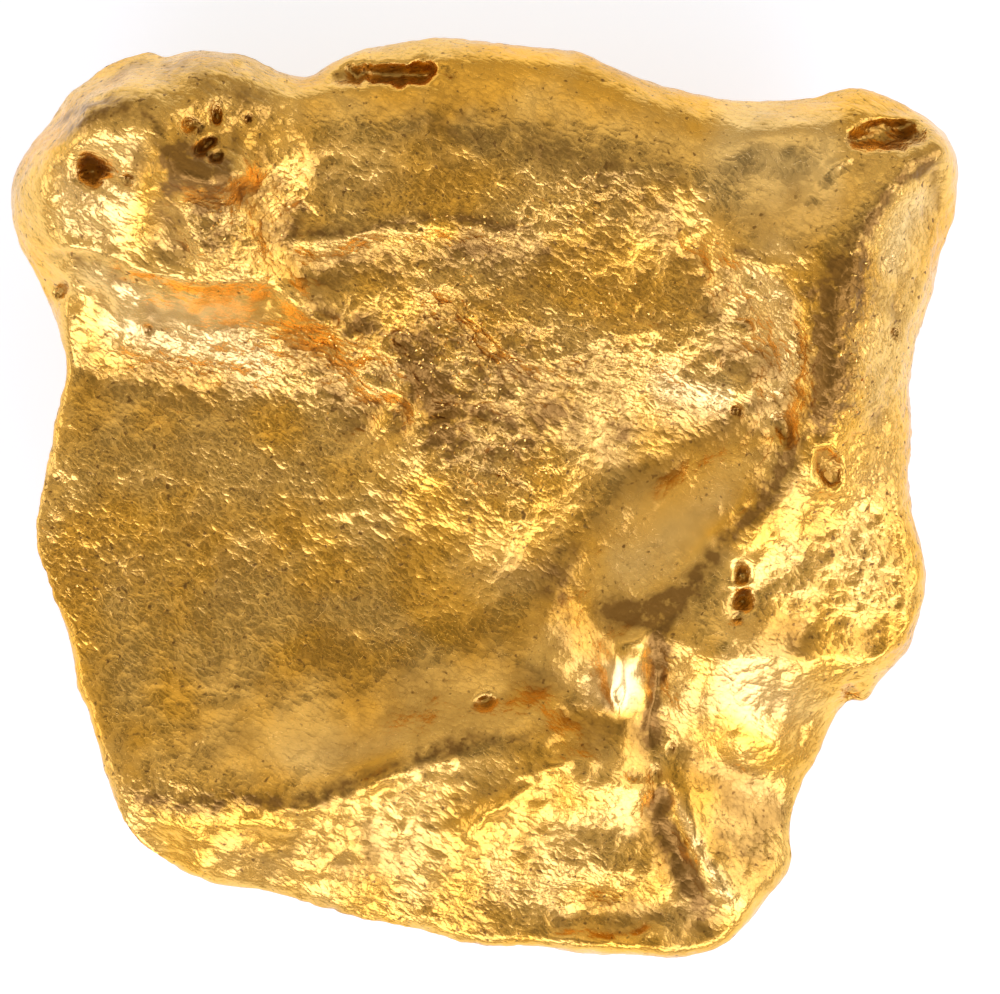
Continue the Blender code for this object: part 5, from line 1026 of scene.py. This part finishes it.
def grains_tree():
    """Sprinkles flat eight-sided crystal grains over the crystalline skin, half sunk in it."""
    tree, given, result = new_tree("nugget_grains", [
        ("Density", 'NodeSocketFloat', 4.0e7), ("Size", 'NodeSocketFloat', 0.00016),
        ("Tilt", 'NodeSocketFloat', 0.6), ("Seed", 'NodeSocketInt', 5),
        ("Material", 'NodeSocketMaterial', None)])
    density = maths(tree, 'MULTIPLY', given.outputs["Density"], named(tree, "grainy"))
    points = add(tree, 'GeometryNodeDistributePointsOnFaces', {
        "Mesh": given.outputs["Geometry"], "Density": density, "Seed": given.outputs["Seed"]})
    grain = add(tree, 'GeometryNodeMeshUVSphere', {"Segments": 4, "Rings": 2, "Radius": 0.5})
    lean = add(tree, 'FunctionNodeRandomValue', data_type='FLOAT_VECTOR')
    lean.inputs[0].default_value = (-1.0, -1.0, 0.0)
    lean.inputs[1].default_value = (1.0, 1.0, 2 * math.pi)
    tilt = vectors(tree, 'SCALE', a=(1.0, 1.0, 0.0), scale=given.outputs["Tilt"])
    turn = vectors(tree, 'ADD', a=vectors(tree, 'MULTIPLY', a=lean.outputs[0], b=tilt),
                   b=vectors(tree, 'MULTIPLY', a=lean.outputs[0], b=(0.0, 0.0, 1.0)))
    rotation = add(tree, 'FunctionNodeRotateRotation', {
        "Rotation": points.outputs["Rotation"], "Rotate By": turn}, rotation_space='LOCAL')
    stretch = add(tree, 'FunctionNodeRandomValue', data_type='FLOAT_VECTOR')
    stretch.inputs[0].default_value = (0.45, 0.25, 0.15)
    stretch.inputs[1].default_value = (1.0, 0.6, 0.35)
    scale = vectors(tree, 'SCALE', a=stretch.outputs[0], scale=given.outputs["Size"])
    scattered = add(tree, 'GeometryNodeInstanceOnPoints', {
        "Points": points.outputs["Points"], "Instance": grain.outputs["Mesh"],
        "Rotation": rotation.outputs[0], "Scale": scale})
    finish_tree(tree, scattered.outputs[0], given, result)
    return tree


def grown(source, tree, values, name):
    """What the tree makes of the source object, as a plain mesh in a new object."""
    modifier = source.modifiers.new(tree.name, 'NODES')
    modifier.node_group = tree
    identifiers = {item.name: item.identifier for item in tree.interface.items_tree
                   if item.item_type == 'SOCKET' and item.in_out == 'INPUT'}
    for label, value in values.items():
        modifier[identifiers[label]] = value
    source.update_tag()
    bpy.context.view_layer.update()
    evaluated = source.evaluated_get(bpy.context.evaluated_depsgraph_get())
    mesh = bpy.data.meshes.new_from_object(evaluated)
    mesh.name = name
    source.modifiers.remove(modifier)
    piece = bpy.data.objects.new(name, mesh)
    bpy.context.scene.collection.objects.link(piece)
    return piece


# ---------------------------------------------------------------- materials


def facet_heights(tree, place):
    """Heights of bulging crystals, coarse and fine, that each lean their own way, and how near a
    crystal's edge a point is."""
    totals, gap = [], 0.0
    for density, tilt, bulge in FACETS:
        cell = add(tree, 'ShaderNodeTexVoronoi', {"Vector": place, "Scale": density})
        lean = vectors(tree, 'SUBTRACT', a=cell.outputs["Color"], b=(0.5, 0.5, 0.5))
        offset = vectors(tree, 'SUBTRACT', a=place, b=cell.outputs["Position"])
        product = tree.nodes.new('ShaderNodeVectorMath')
        product.operation = 'DOT_PRODUCT'
        tree.links.new(lean, product.inputs[0])
        tree.links.new(offset, product.inputs[1])
        distance = cell.outputs["Distance"]
        sink = maths(tree, 'MULTIPLY', maths(tree, 'MULTIPLY', distance, distance), bulge / density)
        rise = maths(tree, 'SUBTRACT', maths(tree, 'MULTIPLY', product.outputs["Value"], 2 * tilt), sink)
        totals.append(rise)
        gap = maths(tree, 'ADD', gap, maths(tree, 'MULTIPLY', distance, 0.5))
    return totals, gap


def gold_material(name, settings, grainy):
    """Native gold: worn satin metal, patina and painted shade in the hollows and the crystals' crevices,
    painted shade and painted sheen in bands, and a fine crystalline grain.
    """
    material = bpy.data.materials.new(name)
    material.use_nodes = True
    tree = material.node_tree
    shader = tree.nodes["Principled BSDF"]
    shader.inputs["Metallic"].default_value = 1.0
    place = add(tree, 'ShaderNodeTexCoord').outputs["Object"]
    if not grainy:
        shader.inputs["Base Color"].default_value = (*settings.colour, 1.0)
        shader.inputs["Roughness"].default_value = GRAIN_ROUGHNESS
        return material
    crystalline = add(tree, 'ShaderNodeAttribute', attribute_name="crystalline").outputs["Fac"]
    hollow = add(tree, 'ShaderNodeAttribute', attribute_name="hollow").outputs["Fac"]
    # bands of painted shade and of painted sheen
    shade_and_sheen = add(tree, 'ShaderNodeAttribute', attribute_name="shade_and_sheen").outputs["Fac"]

    swirl = add(tree, 'ShaderNodeTexNoise', {"Vector": place, "Scale": 2500.0, "Detail": 3.0})
    drift = vectors(tree, 'SUBTRACT', a=swirl.outputs["Color"], b=(0.5, 0.5, 0.5))
    warped = vectors(tree, 'ADD', a=place, b=vectors(tree, 'SCALE', a=drift, scale=0.0002))
    run = add(tree, 'ShaderNodeMapping', {"Vector": warped, "Scale": GRAIN_STRETCH}, vector_type='TEXTURE')
    run.inputs["Rotation"].default_value = (0.0, 0.0, math.radians(GRAIN_RUN))
    (large, small), gap = facet_heights(tree, run.outputs[0])
    fine = add(tree, 'ShaderNodeTexNoise', {
        "Vector": place, "Scale": 11000.0, "Detail": 3.0, "Roughness": 0.65}).outputs[0]
    cloud = add(tree, 'ShaderNodeTexNoise', {"Vector": place, "Scale": 700.0, "Detail": 5.0}).outputs[0]
    speck = add(tree, 'ShaderNodeTexNoise', {"Vector": place, "Scale": 6500.0, "Detail": 1.0}).outputs[0]
    hue = add(tree, 'ShaderNodeTexNoise', {"Vector": place, "Scale": 420.0, "Detail": 4.0}).outputs[0]

    coarse = maths(tree, 'POWER', crystalline, COARSE_POWER)
    amount = maths(tree, 'ADD', SMOOTH_GRAIN, maths(tree, 'MULTIPLY', crystalline, 1 - SMOOTH_GRAIN))
    # painted shade: higher near the crystals' edges and in the low spots of the fine grit, darkening the
    # crevices
    low = maths(tree, 'SUBTRACT', maths(tree, 'ADD', gap, fine), 0.95)
    specks = maths(tree, 'MINIMUM', maths(tree, 'MAXIMUM', maths(
        tree, 'MULTIPLY', maths(tree, 'SUBTRACT', speck, SPECKS_FROM), STAIN_SPECKS), 0.0), 1.0)
    specks = maths(tree, 'MULTIPLY', specks, maths(tree, 'MINIMUM', maths(
        tree, 'MULTIPLY', crystalline, SPECKS_IN_GRAIN), 1.0))
    mottle = add(tree, 'ShaderNodeTexNoise', {"Vector": place, "Scale": 3200.0, "Detail": 4.0}).outputs[0]
    patches = maths(tree, 'ADD', maths(tree, 'MULTIPLY', maths(tree, 'SUBTRACT', mottle, 0.5), MOTTLE), 1.0)
    # painted shade from the dark bands, broken into patches
    ragged = maths(tree, 'MULTIPLY', maths(tree, 'MAXIMUM', shade_and_sheen, 0.0), patches)
    # the darkening: hollows (patina and painted shade), crystalline skin (stain and painted shade), crevices
    # (painted shade), clouds, dark bands (painted shade) and specks
    terms = (maths(tree, 'MULTIPLY', hollow, HOLLOW_PATINA_AND_SHADE),
             maths(tree, 'MULTIPLY', crystalline, CRYSTALLINE_STAIN_AND_SHADE),
             maths(tree, 'MULTIPLY', maths(tree, 'SUBTRACT', cloud, 0.5), STAIN_CLOUDS),
             maths(tree, 'MULTIPLY', maths(tree, 'MULTIPLY', low, amount), CREVICE_PAINTED_SHADE),
             maths(tree, 'MULTIPLY', ragged, PAINTED_SHADE_IN_BANDS), specks)
    # stain and painted shade together, darkening the gold towards the patina colour
    stain_and_shade = STAIN_BASE
    for term in terms:
        stain_and_shade = maths(tree, 'ADD', stain_and_shade, term)
    stain_and_shade = add(tree, 'ShaderNodeClamp', {"Value": stain_and_shade, "Max": STAIN_AND_SHADE_MOST}).outputs[0]
    warmth = add(tree, 'ShaderNodeMapRange', {
        "Value": hue, "From Min": 0.42, "From Max": 0.6, "To Min": 0.0, "To Max": WARM_SHARE})
    metal = add(tree, 'ShaderNodeMix', {
        0: warmth.outputs[0], 6: (*settings.colour, 1.0), 7: (*settings.warm, 1.0)}, data_type='RGBA')
    # painted sheen: the pale colour, mixed in along the bands below zero
    painted_sheen = add(tree, 'ShaderNodeMapRange', {
        "Value": shade_and_sheen, "From Min": -1.0, "From Max": 0.0, "To Min": PAINTED_SHEEN_SHARE, "To Max": 0.0})
    metal = add(tree, 'ShaderNodeMix', {
        0: painted_sheen.outputs[0], 6: metal.outputs[2], 7: (*settings.pale, 1.0)}, data_type='RGBA')
    colour = add(tree, 'ShaderNodeMix', {
        0: stain_and_shade, 6: metal.outputs[2], 7: (*settings.patina, 1.0)}, data_type='RGBA')
    tree.links.new(colour.outputs[2], shader.inputs["Base Color"])
    rough = add(tree, 'ShaderNodeMapRange', {
        "Value": stain_and_shade, "To Min": settings.roughness, "To Max": STAIN_AND_SHADE_ROUGHNESS})
    tree.links.new(rough.outputs[0], shader.inputs["Roughness"])

    facets = maths(tree, 'ADD', maths(tree, 'MULTIPLY', large, coarse), maths(tree, 'MULTIPLY', small, amount))
    first = add(tree, 'ShaderNodeBump', {"Height": facets, "Distance": 1.0})
    second = add(tree, 'ShaderNodeBump', {
        "Height": maths(tree, 'MULTIPLY', fine, amount), "Distance": GRIT_BUMP,
        "Normal": first.outputs[0]})
    tree.links.new(second.outputs[0], shader.inputs["Normal"])
    return material


def floor_material(colour):
    """A pale floor with painted light: it glows strongly round the nugget and faintly farther out."""
    material = bpy.data.materials.new("pale_floor")
    material.use_nodes = True
    tree = material.node_tree
    shader = tree.nodes["Principled BSDF"]
    shader.inputs["Base Color"].default_value = (*colour, 1.0)
    shader.inputs["Roughness"].default_value = 0.7
    # painted light: the floor glows, brightest round the nugget
    shader.inputs["Emission Color"].default_value = (*FLOOR_PAINTED_GLOW, 1.0)
    place = add(tree, 'ShaderNodeTexCoord').outputs["Object"]
    away = tree.nodes.new('ShaderNodeVectorMath')
    away.operation = 'LENGTH'
    tree.links.new(place, away.inputs[0])
    painted_glow = add(tree, 'ShaderNodeMapRange', {
        "Value": away.outputs["Value"], "From Min": PAINTED_GLOW_REACH * 0.6, "From Max": PAINTED_GLOW_REACH * 1.6,
        "To Min": 1.0, "To Max": 0.2}, interpolation_type='SMOOTHSTEP')
    tree.links.new(painted_glow.outputs[0], shader.inputs["Emission Strength"])
    return material


# ---------------------------------------------------------------- operators


class NUGGET_OT_skin(bpy.types.Operator):
    """Builds the nugget's skin in place of the plain solid"""
    bl_idname = "nugget.skin"
    bl_label = "Nugget Skin"

    def execute(self, context):
        settings = context.scene.nugget_skin
        body = build_body(settings.cells)
        skin = grown(body, relief_tree(), {
            "Dimple Size": settings.dimple_size, "Dimple Height": settings.dimple_height,
            "Facet Size": settings.facet_size, "Facet Height": settings.facet_height,
            "Material": gold_material("native_gold", context.scene.nugget_gold, True)}, "nugget_skin")
        bpy.data.objects.remove(body)
        centre_on_solid(skin.data)
        skin.data.shade_smooth()
        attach(skin, "root")
        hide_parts("nugget")
        return {'FINISHED'}


class NUGGET_OT_grains(bpy.types.Operator):
    """Sprinkles the crystal grains over the finished skin"""
    bl_idname = "nugget.grains"
    bl_label = "Crystal Grains"

    def execute(self, context):
        settings = context.scene.nugget_grains
        skin = bpy.data.objects["nugget_skin"]
        grains = grown(skin, grains_tree(), {
            "Density": settings.density, "Size": settings.size, "Tilt": settings.tilt,
            "Material": gold_material("grain_gold", context.scene.nugget_gold, False)}, "crystal_grains")
        if not grains.data.polygons:
            raise RuntimeError("no crystal grains were made")
        print("grains", len(grains.data.polygons))
        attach(grains, "root")
        return {'FINISHED'}


class NUGGET_OT_stage(bpy.types.Operator):
    """Sets the floor, the soft light and the camera"""
    bl_idname = "nugget.stage"
    bl_label = "Stage"

    def execute(self, context):
        settings = context.scene.nugget_stage
        half = FLOOR_SIZE / 2
        mesh = bpy.data.meshes.new("floor")
        mesh.from_pydata([(-half, -half, 0), (half, -half, 0), (half, half, 0), (-half, half, 0)],
                         [], [(0, 1, 2, 3)])
        mesh.materials.append(floor_material(settings.floor))
        floor = bpy.data.objects.new("floor", mesh)
        context.scene.collection.objects.link(floor)
        set_world(context.scene)
        for name, bearing, height, width, tall, strength, colour in (
                ("front_right", 146, 33, 0.15, 0.10, settings.key, KEY_TINT),
                ("front_left", 208, 35, 0.13, 0.10, settings.key, KEY_TINT),
                ("left", 270, 18, 0.16, 0.08, settings.sides, SIDE_TINT),
                ("right", 90, 32, 0.16, 0.14, settings.sides, SIDE_TINT),
                ("back", 350, 54, 0.14, 0.08, settings.back, BACK_TINT)):
            add_light(context.scene, name, bearing, height, width, tall, strength, colour)
        add_camera(context.scene)
        context.scene.view_settings.view_transform = 'Standard'
        return {'FINISHED'}


def set_world(scene):
    """A tent of soft light, dim overhead and bright towards the horizon."""
    world = bpy.data.worlds.new("tent")
    scene.world = world
    world.use_nodes = True
    tree = world.node_tree
    direction = add(tree, 'ShaderNodeTexCoord').outputs["Generated"]
    split = add(tree, 'ShaderNodeSeparateXYZ', {0: direction})
    ramp = add(tree, 'ShaderNodeValToRGB', {"Fac": split.outputs["Z"]})
    elements = ramp.color_ramp.elements
    for number, (rise, level) in enumerate(TENT):
        element = elements[number] if number < 2 else elements.new(rise)
        element.position = rise
        element.color = (*[level * tint for tint in TENT_TINT], 1.0)
    tree.links.new(ramp.outputs[0], tree.nodes["Background"].inputs["Color"])


def add_light(scene, name, bearing, height, width, tall, strength, colour):
    """A soft panel that faces the nugget, placed by its compass bearing and its height in degrees."""
    angle, rise = math.radians(bearing), math.radians(height)
    towards = Vector((math.sin(angle) * math.cos(rise), math.cos(angle) * math.cos(rise),
                      math.sin(rise)))
    light = bpy.data.lights.new(name, 'AREA')
    light.shape = 'RECTANGLE'
    light.size = width
    light.size_y = tall
    light.color = colour
    light.energy = 4 * strength * width * tall
    panel = bpy.data.objects.new(name, light)
    scene.collection.objects.link(panel)
    panel.location = towards * LIGHT_REACH
    panel.rotation_euler = (-towards).to_track_quat('-Z', 'Y').to_euler()
    panel.visible_camera = False


def add_camera(scene):
    """Looks straight down on the nugget."""
    camera = bpy.data.cameras.new("camera")
    camera.sensor_width = 36.0
    camera.lens = camera.sensor_width * (CAMERA_HEIGHT - RIM_LEVEL) / VIEW_WIDTH
    camera.clip_start = 0.01
    camera.clip_end = 10.0
    stand = bpy.data.objects.new("camera", camera)
    scene.collection.objects.link(stand)
    stand.location = (VIEW_CENTRE[0] * MM, VIEW_CENTRE[1] * MM, CAMERA_HEIGHT)
    scene.camera = stand


class NUGGET_PT_sidebar(bpy.types.Panel):
    """Lists the nugget's steps and their settings"""
    bl_idname = "NUGGET_PT_sidebar"
    bl_label = "Gold Nugget"
    bl_space_type = 'VIEW_3D'
    bl_region_type = 'UI'
    bl_category = "Nugget"

    def draw(self, context):
        scene = context.scene
        for settings, operator in ((scene.nugget_skin, "nugget.skin"),
                                   (scene.nugget_grains, "nugget.grains"),
                                   (scene.nugget_gold, None),
                                   (scene.nugget_stage, "nugget.stage")):
            box = self.layout.box()
            for name in settings.__annotations__:
                box.prop(settings, name)
            if operator:
                box.operator(operator)


SETTINGS = (("nugget_skin", NuggetSkinSettings), ("nugget_grains", NuggetGrainSettings),
            ("nugget_gold", NuggetGoldSettings), ("nugget_stage", NuggetStageSettings))
CLASSES = (NUGGET_OT_skin, NUGGET_OT_grains, NUGGET_OT_stage, NUGGET_PT_sidebar)


def register():
    for name, group in SETTINGS:
        bpy.utils.register_class(group)
        setattr(bpy.types.Scene, name, bpy.props.PointerProperty(type=group))
    for item in CLASSES:
        bpy.utils.register_class(item)


def unregister():
    for item in reversed(CLASSES):
        bpy.utils.unregister_class(item)
    for name, group in reversed(SETTINGS):
        delattr(bpy.types.Scene, name)
        bpy.utils.unregister_class(group)


def main():
    register()
    bpy.ops.nugget.skin()
    bpy.ops.nugget.grains()
    bpy.ops.nugget.stage()


if __name__ == "__main__":
    main()
